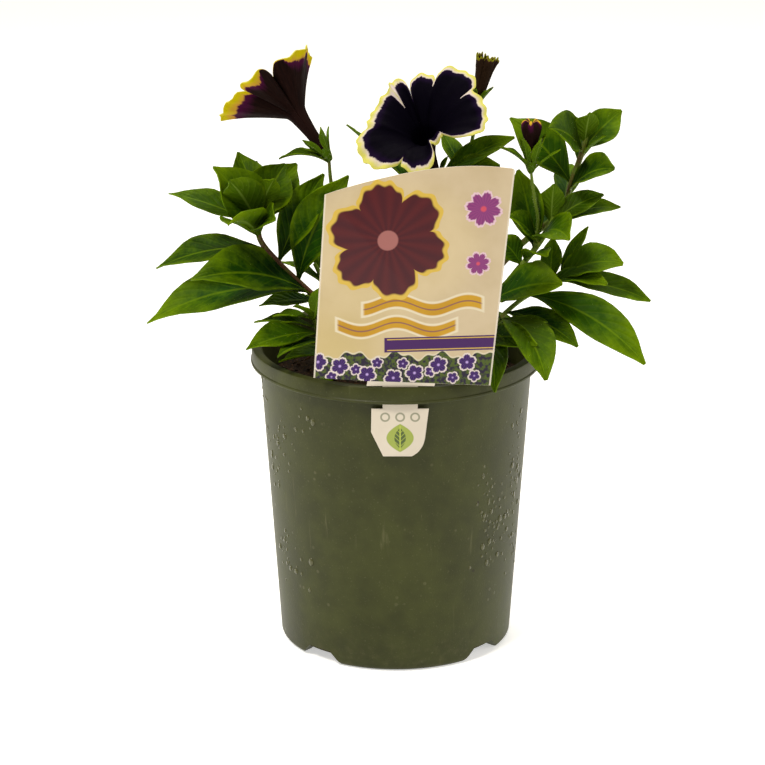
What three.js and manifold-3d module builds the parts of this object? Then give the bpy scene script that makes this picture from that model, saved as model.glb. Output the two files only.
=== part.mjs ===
// A petunia in a standing round nursery pot, with its plant tag through the pot's rim.
// Millimetres, +Z up, +X to the viewer's right, the viewer in front at -Y.
// The origin is on the pot's axis, on the plane that the pot stands on.

import * as THREE from "three";
import { mergeVertices } from "three/addons/utils/BufferGeometryUtils.js";
import Module from "manifold-3d";

const wasm = await Module();
wasm.setup();

// Pot: a 140 mm nursery pot with a skirted rim.
const RIM_RADIUS = 70;
const POT_HEIGHT = 148.4;
const LEDGE_THICKNESS = 1.5;
const SKIRT_HEIGHT = 8;
const SKIRT_THICKNESS = 1.3;
const BEAD = 0.4;
const WALL_TOP_RADIUS = 66.5;
const WALL_FOOT_RADIUS = 56.4;
const WALL_THICKNESS = 1.4;
const FOOT_ROUNDING = 2.4;
const FOOT_RING_INNER = 50;
const FLOOR_RECESS = 3;
const FLOOR_THICKNESS = 1.3;
const POT_SIDES = 36;

// Drain notches: slope-sided cuts through the foot, a quarter turn apart.
const NOTCH_COUNT = 4;
const NOTCH_FIRST_ANGLE = -131;
const NOTCH_HEIGHT = 6.2;
const NOTCH_FOOT_WIDTH = 26;
const NOTCH_TOP_WIDTH = 13;
const NOTCH_INNER_RADIUS = 47;
const NOTCH_OVERRUN = 4;
const NOTCH_FLARE = 1;

// Potting mix: a crumbly fill below the rim, with a plain hole for each stem.
const SOIL_LEVEL = 130;
const SOIL_RELIEF = 1.4;
const SOIL_SIDES = 24;
const SOIL_RINGS = [0.97, 0.75, 0.5, 0.25];
const GAP = 0.3;
const ROOT_LEVEL = 120;
const HOLE_FLOOR = 119.4;
const HOLE_CLEARANCE = 0.8;
const HOLE_SIDES = 8;

// Plant tag: a printed sheet whose neck drops through a slot in the rim's ledge.
const TAG_THICKNESS = 0.7;
const TAG_PLANE_Y = -67.3;
const NECK_X = 1.7;
const NECK_HALF = 8.2;
const TAB_HALF = 13.4;
const TAB_BELOW_SKIRT = 2.8;
const TAB_FOOT_HALF = 6.7;
const TAB_FOOT_Z = 114;
const STEM_HALF = 15.4;
const LABEL_FOOT_Z = 150.2;
const SLOT_WIDTH = 18.4;
const SLOT_THICKNESS = 1.4;
const LABEL_RIGHT_FOOT = [43.7, 149];
const LABEL_LEFT_FOOT = [-38.6, 152.8];
const LABEL_ARCH = [
  [53.8, 251.6],
  [53.7, 252.8],
  [52.5, 253],
  [28, 256.5],
  [-2, 249.5],
  [-20, 245.5],
  [-33, 240.6],
];

// Leaves and stems.
const LEAF_THICKNESS = 0.8;
const LEAF_FOLD = 20;
const LEAF_WAVE = 0.06;
const SMALL_LEAF = 25;
const LARGE_LEAF = 54;
const LEAF_FOOT_WIDTH = 0.1;
const STEM_SIDES = 5;
const STEM_STEP = 12;
const CALYX_LENGTH = 4.5;
const CALYX_RADIUS = 2.9;
const SEPAL_COUNT = 5;
const SEPAL_FIRST_ANGLE = 20;
const SEPAL_SLENDERNESS = 0.3;
const SEPAL_DROOP = 12;
const SEPAL_RING = 1.6;
const SEPAL_FOOT = 0.8;
const LEAF_WAVES = 9;
const LEAF_WIDEST = 1.15;
const LEAF_BLUNTNESS = 1.1;

// Leaves that follow the usual spiral: the lowest is the largest and flattest, the top one the smallest.
const GOLDEN_ANGLE = 137.5;
const SPIRAL_START = 1.8;
const SPIRAL_SHRINK = 0.55;
const SPIRAL_SLENDERNESS = 0.4;
const SPIRAL_RISE = [26, 40];
const SPIRAL_DROOP = [45, -25];
const SPIRAL_LENGTH_PLAY = 0.1;
const SPIRAL_AZIMUTH_PLAY = 12;
const SPIRAL_RISE_PLAY = 5;

// Flowers: a slim tube, then a limb of unequal lobes.
const COROLLA_THICKNESS = 0.8;
const TUBE_FOOT_RADIUS = 1.9;
const TUBE_MIDDLE_RADIUS = 2.9;
const TUBE_NECK = 0.8;
const LIMB_RINGS = [0.35, 0.7, 1];
const LOBE_FULLNESS = 0.45;
const RUFFLED_WIDTH = 60;
const BUD_PLEATS = 5;
const BUD_SIDES = 15;

// The lobes in order round the limb: where each begins, in degrees, the rim's radius at the notch there,
// the radius that the lobe reaches and how far it is lifted.
const LEFT_LOBES = [
  [150, 26, 31, 0],
  [240, 23, 35, 0],
  [276, 15, 28.5, 0],
  [345, 19, 22, 0],
  [430, 20, 27, 0],
];
const FRONT_LOBES = [
  [320, 14, 32, 0],
  [385, 31, 35, 0],
  [428, 27, 28.5, 0],
  [459, 17, 29.5, 0],
  [479, 27, 24.5, 0],
  [537, 27, 32, 0],
  [603, 24, 29, 0],
  [647, 16, 13.5, -3],
];
const CLOSING_LOBES = [
  [36, 4.6, 5.8, 0],
  [108, 4.6, 5.4, 1],
  [180, 4.6, 5.8, 0],
  [252, 4.6, 5.4, 1],
  [324, 4.6, 5.8, 0],
];

// Colours of the pieces.
const OLIVE_PLASTIC = 0x48502f;
const DARK_MIX = 0x2a1a10;
const CREAM_CARD = 0xd9c39a;
const LEAF_GREEN = 0x3f6b14;
const BLACK_PURPLE = 0x170a26;
const BROWN_PURPLE = 0x2c1230;

const rad = THREE.MathUtils.degToRad;
const vec = (x, y, z) => new THREE.Vector3(x, y, z);

// A shoot is one or more branches. A leaf row holds its place on the branch, counted in path points,
// its azimuth (0 right, 90 away, 180 left, 270 to the viewer), its elevation where it leaves the stem,
// its length, its width, its droop over that length and, where it is turned, its roll.
const SHOOTS = {
  left_shoot: [
    {
      radius: 1.7,
      path: [[-6, -4, ROOT_LEVEL], [-7, -4, 138], [-22, -8, 157], [-40, -11, 176], [-56, -14, 193],
        [-65, -16, 206], [-64, -15, 219]],
      leaves: [
        [2.8, 192, 12, 30, 12, 25, -20],
        [3, 210, 37, 69, 29, 45, -35],
        [3.1, 184, 12, 81, 25, 45, -35],
        [3.4, 335, 79, 62, 25, 30, 105],
        [4, 10, 70, 48, 20, 15, 65],
        [4.5, 175, 6, 55, 18, 35, -30],
        [5, 246, 52, 36, 24, 55, 20],
        [5.1, 292, 55, 28, 18, 50, 50],
        [4.9, 188, 74, 43, 27, 30, -55],
        [5.4, 170, 28, 46, 16, 20, -25],
        [5.4, 51, 54, 38, 21, 25, 35],
        [5.4, 235, 62, 35, 22, 22, 40],
        [5.6, 28, 74, 30, 25, 25, 50],
        [5.8, 121, 61, 34, 17, 20, -20],
        [6, 300, 64, 23, 12, 20, -40],
        [6, 98, 50, 27, 10, 10],
      ],
    },
  ],
  left_low_shoot: [
    {
      radius: 1.3,
      path: [[-12, -14, ROOT_LEVEL], [-13, -15, 138], [-26, -21, 150], [-36, -26, 160], [-39, -29, 169]],
      leaves: [
        [1.5, 238, 15, 31, 16, 50],
        [1.4, 284, 22, 27, 14, 50],
        [1.7, 205, 22, 38, 15, 35],
        [2, 262, 25, 38, 15, 50],
        [2.4, 232, 29, 42, 15, 45],
        [3.2, 217, 12, 42, 17, 25, -25],
        [3.5, 180, 20, 30, 12, 30],
        [4, 226, 50, 17, 9, 30],
        [4, 188, 22, 20, 10, 30],
        [4, 75, 55, 18, 9, 20],
      ],
    },
  ],
  left_bloom_stem: [
    {
      radius: 1.1,
      path: [[-4, 5, ROOT_LEVEL], [-5, 4, 140], [-13, 2, 170], [-25, -4, 208], [-30.5, -7, 228],
        [-32, -8, 243]],
      calyx: { facing: [-0.58, 0.38, 0.72], sepal: 14, spread: 26 },
      leaves: [
        [4.8, 184, 36, 25, 10, 60],
        [2.2, 100, 40, 40, 16, 35],
        [2.8, 60, 50, 30, 12, 30],
      ],
    },
  ],
  front_bloom_stem: [
    {
      radius: 1.2,
      path: [[4, 2, ROOT_LEVEL], [5, 2, 140], [9, 5, 175], [16, 6, 210], [19, 4, 225], [19.5, 1, 231]],
      calyx: { facing: [-0.2, -0.62, 0.76], sepal: 12, spread: 26 },
      leaves: [
        [4.2, 352, 48, 45, 14, 30, 45],
        [3.9, 336, 42, 37, 17, 35, 45],
        [3, 216, 55, 46, 15, 60],
        [3.2, 168, 48, 57, 15, 10],
        [2.4, 280, 35, 35, 14, 40],
      ],
    },
  ],
  closing_bloom_stem: [
    {
      radius: 1.1,
      path: [[10, 9, ROOT_LEVEL], [11, 10, 140], [20, 13, 175], [31, 16, 220], [37, 9, 251], [38, 4, 266]],
      calyx: { facing: [0.22, 0.05, 0.97], sepal: 10, spread: 24 },
      leaves: [
        [2.2, 80, 30, 42, 17, 35],
        [2.8, 10, 40, 34, 14, 30],
        [3.2, 120, 50, 28, 11, 20],
        [1.8, 140, 50, 38, 15, 30],
      ],
    },
  ],
  right_tall_shoot: [
    {
      radius: 1.7,
      path: [[10, 3, ROOT_LEVEL], [12, 3, 140], [30, 4, 162], [58, 3, 195], [78, 2, 213], [84, 3, 229],
        [89, 5, 243], [91, 6, 252]],
      leaves: [
        [6, 22, 51, 27, 18, 20, 50],
        [6.4, 129, 51, 17, 8, 10],
        [6.3, 286, 77, 18, 14, 15],
        [5.9, 231, 55, 33, 22, 45, -60],
        [5.8, 332, 47, 17, 5, 10],
        [4.6, 312, 53, 36, 22, 45, 40],
        [4.9, 160, 56, 43, 22, 25, -50],
        [5.5, 70, 45, 30, 13, 30],
        [4.2, 80, 35, 38, 15, 35],
        [3.3, 60, 20, 42, 16, 40],
        [7, 60, 60, 10, 5, 10],
        [7, 240, 60, 10, 5, 10],
      ],
    },
  ],
  right_middle_shoot: [
    {
      radius: 1.9,
      path: [[13, -5, ROOT_LEVEL], [15, -6, 140], [32, -9, 158], [48, -10, 175], [58, -10, 188],
        [66, -9, 198], [73, -8, 209], [75, -8, 214]],
      leaves: [
        [6.2, 280, 84, 21, 14, 10],
        [6.2, 4, 44, 29, 13, 30, 45],
        [6.1, 12, 31, 36, 12, 40, 30],
        [5.3, 295, 54, 34, 22, 75, 30],
        [5.2, 221, 59, 27, 15, 35, -50],
        [4.2, 195, 65, 20, 14, 30, -60],
        [5, 129, 81, 39, 20, 20, -60],
        [2.8, 318, 37, 48, 26, 30, 40],
        [4.4, 290, 40, 30, 14, 40],
      ],
    },
    {
      radius: 0.9,
      path: [[66, -9, 199], [67.5, -11, 212], [65, -12, 227], [63.6, -12, 238]],
      calyx: { facing: [0, 0, 1], sepal: 17, spread: 14 },
      leaves: [
        [2.9, 194, 59, 21, 9, 40],
        [2.9, 350, 45, 18, 4, 10],
      ],
    },
  ],
  right_low_shoot: [
    {
      radius: 1.5,
      path: [[16, -11, ROOT_LEVEL], [18, -12, 139], [36, -13, 151], [56, -13, 171], [68, -10, 178],
        [79, -8, 182]],
      leaves: [
        [3.6, 329, 1, 69, 22, 45, 40],
        [2.8, 322, 8, 44, 17, 40, 25],
        [5, 2, 0, 45, 15, 28, 35],
        [4.8, 345, 50, 36, 23, 60, 30],
        [4.9, 43, 55, 31, 9, 10],
        [5, 25, 40, 28, 10, 30],
        [4.5, 80, 65, 24, 11, 10],
        [4.1, 335, 38, 36, 17, 55, 15],
        [3.6, 70, 25, 42, 17, 40],
      ],
    },
  ],
  right_front_shoot: [
    {
      radius: 1.3,
      path: [[11, -17, ROOT_LEVEL], [12, -18, 138], [28, -24, 150], [42, -27, 160], [50, -26, 168]],
      leaves: [
        [2.6, 313, 32, 44, 15, 40, 45],
        [3, 140, 60, 22, 11, 25],
        [3.5, 315, 9, 31, 11, 20],
        [4, 296, 20, 52, 24, 82],
        [3.2, 273, 18, 44, 15, 90],
        [1.6, 318, 15, 27, 15, 50],
        [4, 335, 15, 24, 7, 20],
        [4, 200, 50, 20, 9, 30],
      ],
    },
  ],
  back_left_shoot: [
    {
      radius: 1.5,
      path: [[-9, 11, ROOT_LEVEL], [-10, 12, 138], [-21, 22, 152], [-33, 31, 166], [-40, 36, 178]],
      spiral: { seed: 1, count: 8, azimuth: 0, longest: 38 },
    },
  ],
  back_shoot: [
    {
      radius: 1.5,
      path: [[1, 14, ROOT_LEVEL], [1, 15, 138], [0, 30, 154], [-1, 42, 170], [-1, 47, 184]],
      spiral: { seed: 3, count: 8, azimuth: 60, longest: 44 },
    },
  ],
  back_right_shoot: [
    {
      radius: 1.5,
      path: [[17, 13, ROOT_LEVEL], [18, 14, 138], [28, 27, 152], [38, 40, 166], [42, 46, 180]],
      spiral: { seed: 1, count: 8, azimuth: 0, longest: 38 },
    },
  ],
};

// Seeded draws between -1 and 1, by the minimal standard generator.
function drawer(seed) {
  let state = seed;
  return () => {
    state = (state * 16807) % 2147483647;
    return (2 * state) / 2147483647 - 1;
  };
}

// Rows for a shoot whose leaves follow the usual spiral.
function spiralLeaves({ seed, count, azimuth, longest }, points) {
  const draw = drawer(seed);
  const rows = [];
  for (let n = 0; n < count; n += 1) {
    const rise = n / (count - 1);
    const length = longest * (1 - SPIRAL_SHRINK * rise) * (1 + SPIRAL_LENGTH_PLAY * draw());
    rows.push([
      SPIRAL_START + (points - 1 - SPIRAL_START) * rise,
      azimuth + GOLDEN_ANGLE * n + SPIRAL_AZIMUTH_PLAY * draw(),
      SPIRAL_RISE[0] + SPIRAL_RISE[1] * rise + SPIRAL_RISE_PLAY * draw(),
      length,
      length * SPIRAL_SLENDERNESS,
      SPIRAL_DROOP[0] + SPIRAL_DROOP[1] * rise,
    ]);
  }
  return rows;
}

const plant = new THREE.Group();

function addPiece(name, geometry, color, roughness) {
  const material = new THREE.MeshStandardMaterial({ color, roughness, metalness: 0 });
  const mesh = new THREE.Mesh(geometry, material);
  mesh.name = name;
  plant.add(mesh);
}

// A closed geometry as a solid that can be joined and cut, and back again.
function solidOf(geometry) {
  geometry.deleteAttribute("normal");
  geometry.deleteAttribute("uv");
  const merged = mergeVertices(geometry, 1e-4);
  return new wasm.Manifold(new wasm.Mesh({
    numProp: 3,
    vertProperties: new Float32Array(merged.attributes.position.array),
    triVerts: new Uint32Array(merged.index.array),
  }));
}

function geometryOf(solid) {
  const mesh = solid.getMesh();
  const geometry = new THREE.BufferGeometry();
  geometry.setAttribute("position", new THREE.BufferAttribute(mesh.vertProperties, 3));
  geometry.setIndex(new THREE.BufferAttribute(mesh.triVerts, 1));
  geometry.computeVertexNormals();
  return geometry;
}

const fuse = (solids) => solids.reduce((whole, next) => whole.add(next));

// A closed sheet of even thickness on a grid of points, with both faces split along the same diagonals.
function sheet(grid, thickness, wrap) {
  const rows = grid.length;
  const columns = grid[0].length;
  const spans = wrap ? columns : columns - 1;
  const column = (j) => (wrap ? (j + columns) % columns : THREE.MathUtils.clamp(j, 0, columns - 1));
  const row = (i) => THREE.MathUtils.clamp(i, 0, rows - 1);
  const points = [];
  for (let i = 0; i < rows; i += 1) {
    for (let j = 0; j < columns; j += 1) {
      const along = grid[row(i + 1)][j].clone().sub(grid[row(i - 1)][j]);
      const across = grid[i][column(j + 1)].clone().sub(grid[i][column(j - 1)]);
      const half = along.cross(across).setLength(thickness / 2);
      points.push(grid[i][j].clone().add(half), grid[i][j].clone().sub(half));
    }
  }
  const top = (i, j) => 2 * (i * columns + column(j));
  const under = (i, j) => top(i, j) + 1;
  const index = [];
  const quad = (a, b, c, d) => index.push(a, b, c, a, c, d);
  for (let j = 0; j < spans; j += 1) {
    for (let i = 0; i < rows - 1; i += 1) {
      quad(top(i, j), top(i + 1, j), top(i + 1, j + 1), top(i, j + 1));
      quad(under(i + 1, j + 1), under(i + 1, j), under(i, j), under(i, j + 1));
    }
    quad(top(0, j), top(0, j + 1), under(0, j + 1), under(0, j));
    quad(top(rows - 1, j + 1), top(rows - 1, j), under(rows - 1, j), under(rows - 1, j + 1));
  }
  if (!wrap) {
    for (let i = 0; i < rows - 1; i += 1) {
      quad(top(i + 1, 0), top(i, 0), under(i, 0), under(i + 1, 0));
      quad(top(i, spans), top(i + 1, spans), under(i + 1, spans), under(i, spans));
    }
  }
  return new THREE.BufferGeometry().setFromPoints(points).setIndex(index);
}

// Stations along a leaf: the larger the leaf, the more of them.
function leafStations(length) {
  if (length < SMALL_LEAF) {
    return [0, 0.4, 0.75, 1];
  }
  return length < LARGE_LEAF ? [0, 0.28, 0.54, 0.8, 1] : [0, 0.2, 0.42, 0.64, 0.84, 1];
}

// Half the leaf's breadth at a station: a tapered foot, widest past the middle, a blunt tip.
const leafBreadth = (s) => {
  const swell = Math.sin(Math.PI * s ** LEAF_WIDEST) ** LEAF_BLUNTNESS;
  return Math.max(LEAF_FOOT_WIDTH, swell) / 2;
};

// A leaf's rows of right margin, midrib and left margin, folded along the midrib and arched.
function leafGrid(base, [, azimuth, elevation, length, width, droop, roll = 0]) {
  const heading = rad(azimuth);
  const start = rad(elevation);
  const bend = rad(Math.max(droop, 1));
  return leafStations(length).map((s) => {
    const slope = start - bend * s;
    const reach = (length / bend) * (Math.sin(start) - Math.sin(slope));
    const rise = (length / bend) * (Math.cos(slope) - Math.cos(start));
    const along = vec(Math.cos(slope) * Math.cos(heading), Math.cos(slope) * Math.sin(heading), Math.sin(slope));
    const side = vec(-Math.sin(heading), Math.cos(heading), 0).applyAxisAngle(along, rad(roll));
    const face = along.clone().cross(side);
    const midrib = vec(reach * Math.cos(heading), reach * Math.sin(heading), rise).add(base);
    const half = width * leafBreadth(s);
    const wave = LEAF_WAVE * width * Math.sin(LEAF_WAVES * s) * s;
    const margin = (hand) => midrib.clone()
      .addScaledVector(side, hand * half * Math.cos(rad(LEAF_FOLD)))
      .addScaledVector(face, half * Math.sin(rad(LEAF_FOLD)) + hand * wave);
    return [margin(-1), midrib, margin(1)];
  });
}

const leafBlade = (base, row) => solidOf(sheet(leafGrid(base, row), LEAF_THICKNESS, false));

// A stem of even thickness along a smooth curve through its path.
const stemCurve = (path) => new THREE.CatmullRomCurve3(path.map((p) => vec(...p)), false, "catmullrom", 0.5);

function stem(path, radius) {
  const curve = stemCurve(path);
  const outline = [];
  for (let n = 0; n < STEM_SIDES; n += 1) {
    const turn = (2 * Math.PI * n) / STEM_SIDES;
    outline.push(new THREE.Vector2(radius * Math.cos(turn), radius * Math.sin(turn)));
  }
  return solidOf(new THREE.ExtrudeGeometry(new THREE.Shape(outline), {
    extrudePath: curve,
    steps: Math.ceil(curve.getLength() / STEM_STEP),
    curveSegments: 1,
  }));
}

// Turns a piece made along +Z to a direction and sets it on a point.
function aim(solidGeometry, point, facing) {
  const turn = new THREE.Quaternion().setFromUnitVectors(vec(0, 0, 1), facing);
  return solidGeometry.applyQuaternion(turn).translate(point.x, point.y, point.z);
}

// The green cup at a flower's foot, with five narrow sepals that stand clear of the flower's tube.
function calyx(end, { facing, sepal, spread }) {
  const axis = vec(...facing).normalize();
  const profile = [[0, -2], [1.2, -1.6], [CALYX_RADIUS, CALYX_LENGTH - 1], [CALYX_RADIUS - 0.5, CALYX_LENGTH],
    [0, CALYX_LENGTH]].map((p) => new THREE.Vector2(...p));
  const cup = solidOf(aim(new THREE.LatheGeometry(profile, 8).rotateX(Math.PI / 2), end, axis));
  const blades = [];
  for (let n = 0; n < SEPAL_COUNT; n += 1) {
    const azimuth = (360 * n) / SEPAL_COUNT + SEPAL_FIRST_ANGLE;
    const row = [0, azimuth, 90 - spread, sepal, sepal * SEPAL_SLENDERNESS, SEPAL_DROOP];
    const foot = vec(SEPAL_RING * Math.cos(rad(azimuth)), SEPAL_RING * Math.sin(rad(azimuth)), SEPAL_FOOT);
    const blade = sheet(leafGrid(foot, row), LEAF_THICKNESS, false);
    blades.push(solidOf(aim(blade, end, axis)));
  }
  return [cup, ...blades];
}

function branch({ path, radius, calyx: cup, leaves, spiral }) {
  const curve = stemCurve(path);
  const rows = leaves ?? spiralLeaves(spiral, path.length);
  const solids = [stem(path, radius)];
  for (const row of rows) {
    solids.push(leafBlade(curve.getPoint(Math.min(1, row[0] / (path.length - 1))), row));
  }
  if (cup) {
    solids.push(...calyx(curve.getPoint(1), cup));
  }
  return solids;
}

// The branches of one shoot as one body; the tiny hollows that its leaves seal between them are filled.
function shoot(branches) {
  const bodies = fuse(branches.flatMap(branch)).decompose();
  return bodies.reduce((largest, next) => (next.volume() > largest.volume() ? next : largest));
}

// One column of a limb: its angle round the flower, the rim's radius there and how the rim is raised.
function limbColumn(lobes, lobe, share, ruffle) {
  const [start, notch, reach, lift] = lobes[lobe];
  const [next, nextNotch] = lobes[lobe + 1] ?? [lobes[0][0] + 360, lobes[0][1]];
  const swell = Math.sin(Math.PI * share);
  const edge = notch + (nextNotch - notch) * share;
  const wave = ruffle * Math.min(1, (next - start) / RUFFLED_WIDTH);
  return {
    angle: rad(start + (next - start) * share),
    rim: edge + (reach - edge) * swell ** LOBE_FULLNESS,
    raise: (out) => wave * out ** 2 * Math.cos(2 * Math.PI * share) + lift * out ** 1.5 * swell,
  };
}

// A trumpet flower: a slim tube that opens into a lobed, ruffled limb.
function trumpet({ stemEnd, facing, tube, throat, rise, bow, curl, ruffle, lobes, lobeColumns }) {
  const columns = lobes.flatMap((_, lobe) => Array.from({ length: lobeColumns }, (unused, j) =>
    limbColumn(lobes, lobe, j / lobeColumns, ruffle)));
  const ring = (height, radius, out) => columns.map(({ angle, rim, raise }) => {
    const breadth = radius + (rim - radius) * out;
    return vec(breadth * Math.cos(angle), breadth * Math.sin(angle), height + raise(out));
  });
  const climb = (out) => tube + rise * out * (1 + bow - bow * out) - curl * out ** 4;
  const grid = [
    ring(CALYX_LENGTH + GAP, TUBE_FOOT_RADIUS, 0),
    ring(tube * 0.6, TUBE_MIDDLE_RADIUS, 0),
    ring(tube * 0.88, throat * TUBE_NECK, 0),
    ring(tube, throat, 0),
    ...LIMB_RINGS.map((out) => ring(climb(out), throat, out)),
  ];
  return aim(sheet(grid, COROLLA_THICKNESS, true), vec(...stemEnd), vec(...facing).normalize());
}

// The furled bud: a spindle with spiral pleats.
function furledBud(stemEnd) {
  const heights = [0, 5, 10, 14.5, 17.4, 18.6];
  const radii = [1.8, 2.3, 3.3, 4.5, 4.4, 2.8];
  const profile = [new THREE.Vector2(0, heights[0]), ...heights.map((h, n) => new THREE.Vector2(radii[n], h)),
    new THREE.Vector2(0, 17.6)];
  const bud = new THREE.LatheGeometry(profile, BUD_SIDES).rotateX(Math.PI / 2);
  const place = bud.attributes.position;
  for (let n = 0; n < place.count; n += 1) {
    const p = vec().fromBufferAttribute(place, n);
    const pleat = 1 + 0.12 * Math.cos(BUD_PLEATS * Math.atan2(p.y, p.x) + 0.12 * p.z);
    place.setXYZ(n, p.x * pleat, p.y * pleat, p.z);
  }
  return bud.translate(stemEnd[0], stemEnd[1], stemEnd[2] + CALYX_LENGTH + GAP);
}

// The pot: a closed profile turned about the axis, then slotted and notched.
const wallRadius = (z) => WALL_FOOT_RADIUS + ((WALL_TOP_RADIUS - WALL_FOOT_RADIUS) * z) / POT_HEIGHT;

function prism(outline, depth, turn) {
  const block = new THREE.ExtrudeGeometry(new THREE.Shape(outline), { depth, bevelEnabled: false });
  return solidOf(block.applyMatrix4(turn));
}

function pot() {
  const ledge = POT_HEIGHT - LEDGE_THICKNESS;
  const hem = POT_HEIGHT - SKIRT_HEIGHT;
  const floor = FLOOR_RECESS + FLOOR_THICKNESS;
  const inside = WALL_THICKNESS;
  const profile = [
    [0, FLOOR_RECESS],
    [FOOT_RING_INNER - 1, FLOOR_RECESS],
    [FOOT_RING_INNER, 0],
    [wallRadius(0) - FOOT_ROUNDING, 0],
    [wallRadius(1) - FOOT_ROUNDING * 0.3, 0.8],
    [wallRadius(FOOT_ROUNDING), FOOT_ROUNDING],
    [wallRadius(ledge), ledge],
    [RIM_RADIUS - SKIRT_THICKNESS, ledge],
    [RIM_RADIUS - SKIRT_THICKNESS, hem],
    [RIM_RADIUS + BEAD, hem],
    [RIM_RADIUS + BEAD, hem + 1.2],
    [RIM_RADIUS, hem + 1.6],
    [RIM_RADIUS, POT_HEIGHT - 0.8],
    [RIM_RADIUS - 0.8, POT_HEIGHT],
    [wallRadius(POT_HEIGHT), POT_HEIGHT],
    [wallRadius(POT_HEIGHT) - inside, POT_HEIGHT - 0.8],
    [wallRadius(floor) - inside, floor],
    [0, floor],
  ];
  const shell = new THREE.LatheGeometry(profile.map((p) => new THREE.Vector2(...p)), POT_SIDES);
  let body = solidOf(shell.rotateX(Math.PI / 2));
  const slot = new THREE.BoxGeometry(SLOT_WIDTH, SLOT_THICKNESS, 3 * LEDGE_THICKNESS);
  body = body.subtract(solidOf(slot.translate(NECK_X, TAG_PLANE_Y, POT_HEIGHT - LEDGE_THICKNESS / 2)));
  const reach = WALL_FOOT_RADIUS + NOTCH_OVERRUN - NOTCH_INNER_RADIUS;
  const outline = [
    new THREE.Vector2(-NOTCH_FOOT_WIDTH / 2 - NOTCH_FLARE, -NOTCH_FLARE),
    new THREE.Vector2(NOTCH_FOOT_WIDTH / 2 + NOTCH_FLARE, -NOTCH_FLARE),
    new THREE.Vector2(NOTCH_TOP_WIDTH / 2, NOTCH_HEIGHT),
    new THREE.Vector2(-NOTCH_TOP_WIDTH / 2, NOTCH_HEIGHT),
  ];
  for (let n = 0; n < NOTCH_COUNT; n += 1) {
    const place = new THREE.Matrix4().makeRotationZ(rad(NOTCH_FIRST_ANGLE + (360 * n) / NOTCH_COUNT))
      .multiply(new THREE.Matrix4().makeTranslation(NOTCH_INNER_RADIUS, 0, 0))
      .multiply(new THREE.Matrix4().makeRotationY(Math.PI / 2))
      .multiply(new THREE.Matrix4().makeRotationZ(Math.PI / 2));
    body = body.subtract(prism(outline, reach, place));
  }
  return geometryOf(body);
}

// Height of the mix's lumpy top at a point.
const soilTop = (x, y) => SOIL_LEVEL + SOIL_RELIEF * (Math.sin(0.21 * x + 1.3) * Math.cos(0.17 * y)
  + 0.5 * Math.sin(0.47 * x - 0.33 * y));

function pottingMix() {
  const floor = FLOOR_RECESS + FLOOR_THICKNESS + GAP;
  const fit = (z) => wallRadius(z) - WALL_THICKNESS - 2 * GAP;
  const rings = SOIL_RINGS.map((share) => [fit(SOIL_LEVEL) * share, SOIL_LEVEL]);
  const profile = [[0, floor], [fit(floor), floor], [fit(SOIL_LEVEL), SOIL_LEVEL - 3], ...rings,
    [0, SOIL_LEVEL]].map((p) => new THREE.Vector2(...p));
  const fill = new THREE.LatheGeometry(profile, SOIL_SIDES).rotateX(Math.PI / 2);
  const place = fill.attributes.position;
  for (let n = 0; n < place.count; n += 1) {
    if (place.getZ(n) > SOIL_LEVEL - 1) {
      place.setZ(n, soilTop(place.getX(n), place.getY(n)));
    }
  }
  let body = solidOf(fill);
  for (const [{ path, radius }] of Object.values(SHOOTS)) {
    const depth = SOIL_LEVEL + 5 - HOLE_FLOOR;
    const reach = radius + HOLE_CLEARANCE;
    const hole = new THREE.CylinderGeometry(reach, reach, depth, HOLE_SIDES);
    hole.rotateX(Math.PI / 2).translate(path[0][0], path[0][1], HOLE_FLOOR + depth / 2);
    body = body.subtract(solidOf(hole));
  }
  return geometryOf(body);
}

// The tag, flat in its plane: the lock tab, the neck, the stem and the label with its arched top.
function plantTag() {
  const ledge = POT_HEIGHT + GAP;
  const hem = POT_HEIGHT - SKIRT_HEIGHT - TAB_BELOW_SKIRT;
  const face = new THREE.Shape();
  face.moveTo(NECK_X - 1.2 - TAB_FOOT_HALF, TAB_FOOT_Z);
  face.lineTo(NECK_X - 1.2 + TAB_FOOT_HALF, TAB_FOOT_Z);
  face.quadraticCurveTo(NECK_X + TAB_HALF - 2, TAB_FOOT_Z + 3, NECK_X + TAB_HALF - 1.5, TAB_FOOT_Z + 11);
  face.lineTo(NECK_X + TAB_HALF, hem);
  face.lineTo(NECK_X + NECK_HALF, hem);
  face.lineTo(NECK_X + NECK_HALF, ledge);
  face.lineTo(NECK_X + 0.5 + STEM_HALF, ledge);
  face.lineTo(NECK_X + 0.8 + STEM_HALF, LABEL_FOOT_Z - 0.2);
  face.lineTo(...LABEL_RIGHT_FOOT);
  face.lineTo(...LABEL_ARCH[0]);
  face.quadraticCurveTo(...LABEL_ARCH[1], ...LABEL_ARCH[2]);
  face.quadraticCurveTo(...LABEL_ARCH[3], ...LABEL_ARCH[4]);
  face.quadraticCurveTo(...LABEL_ARCH[5], ...LABEL_ARCH[6]);
  face.lineTo(...LABEL_LEFT_FOOT);
  face.lineTo(NECK_X + 0.2 - STEM_HALF, LABEL_FOOT_Z + 0.9);
  face.lineTo(NECK_X - 0.3 - STEM_HALF, ledge);
  face.lineTo(NECK_X - NECK_HALF, ledge);
  face.lineTo(NECK_X - NECK_HALF, hem);
  face.lineTo(NECK_X - TAB_HALF, hem);
  face.lineTo(NECK_X - TAB_HALF - 0.2, TAB_FOOT_Z + 12);
  face.closePath();
  const blank = new THREE.ExtrudeGeometry(face, { depth: TAG_THICKNESS, bevelEnabled: false, curveSegments: 5 });
  return blank.rotateX(Math.PI / 2).translate(0, TAG_PLANE_Y + TAG_THICKNESS / 2, 0);
}

const stemEnd = (name) => SHOOTS[name].at(-1).path.at(-1);
const facing = (name) => SHOOTS[name].at(-1).calyx.facing;

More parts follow.
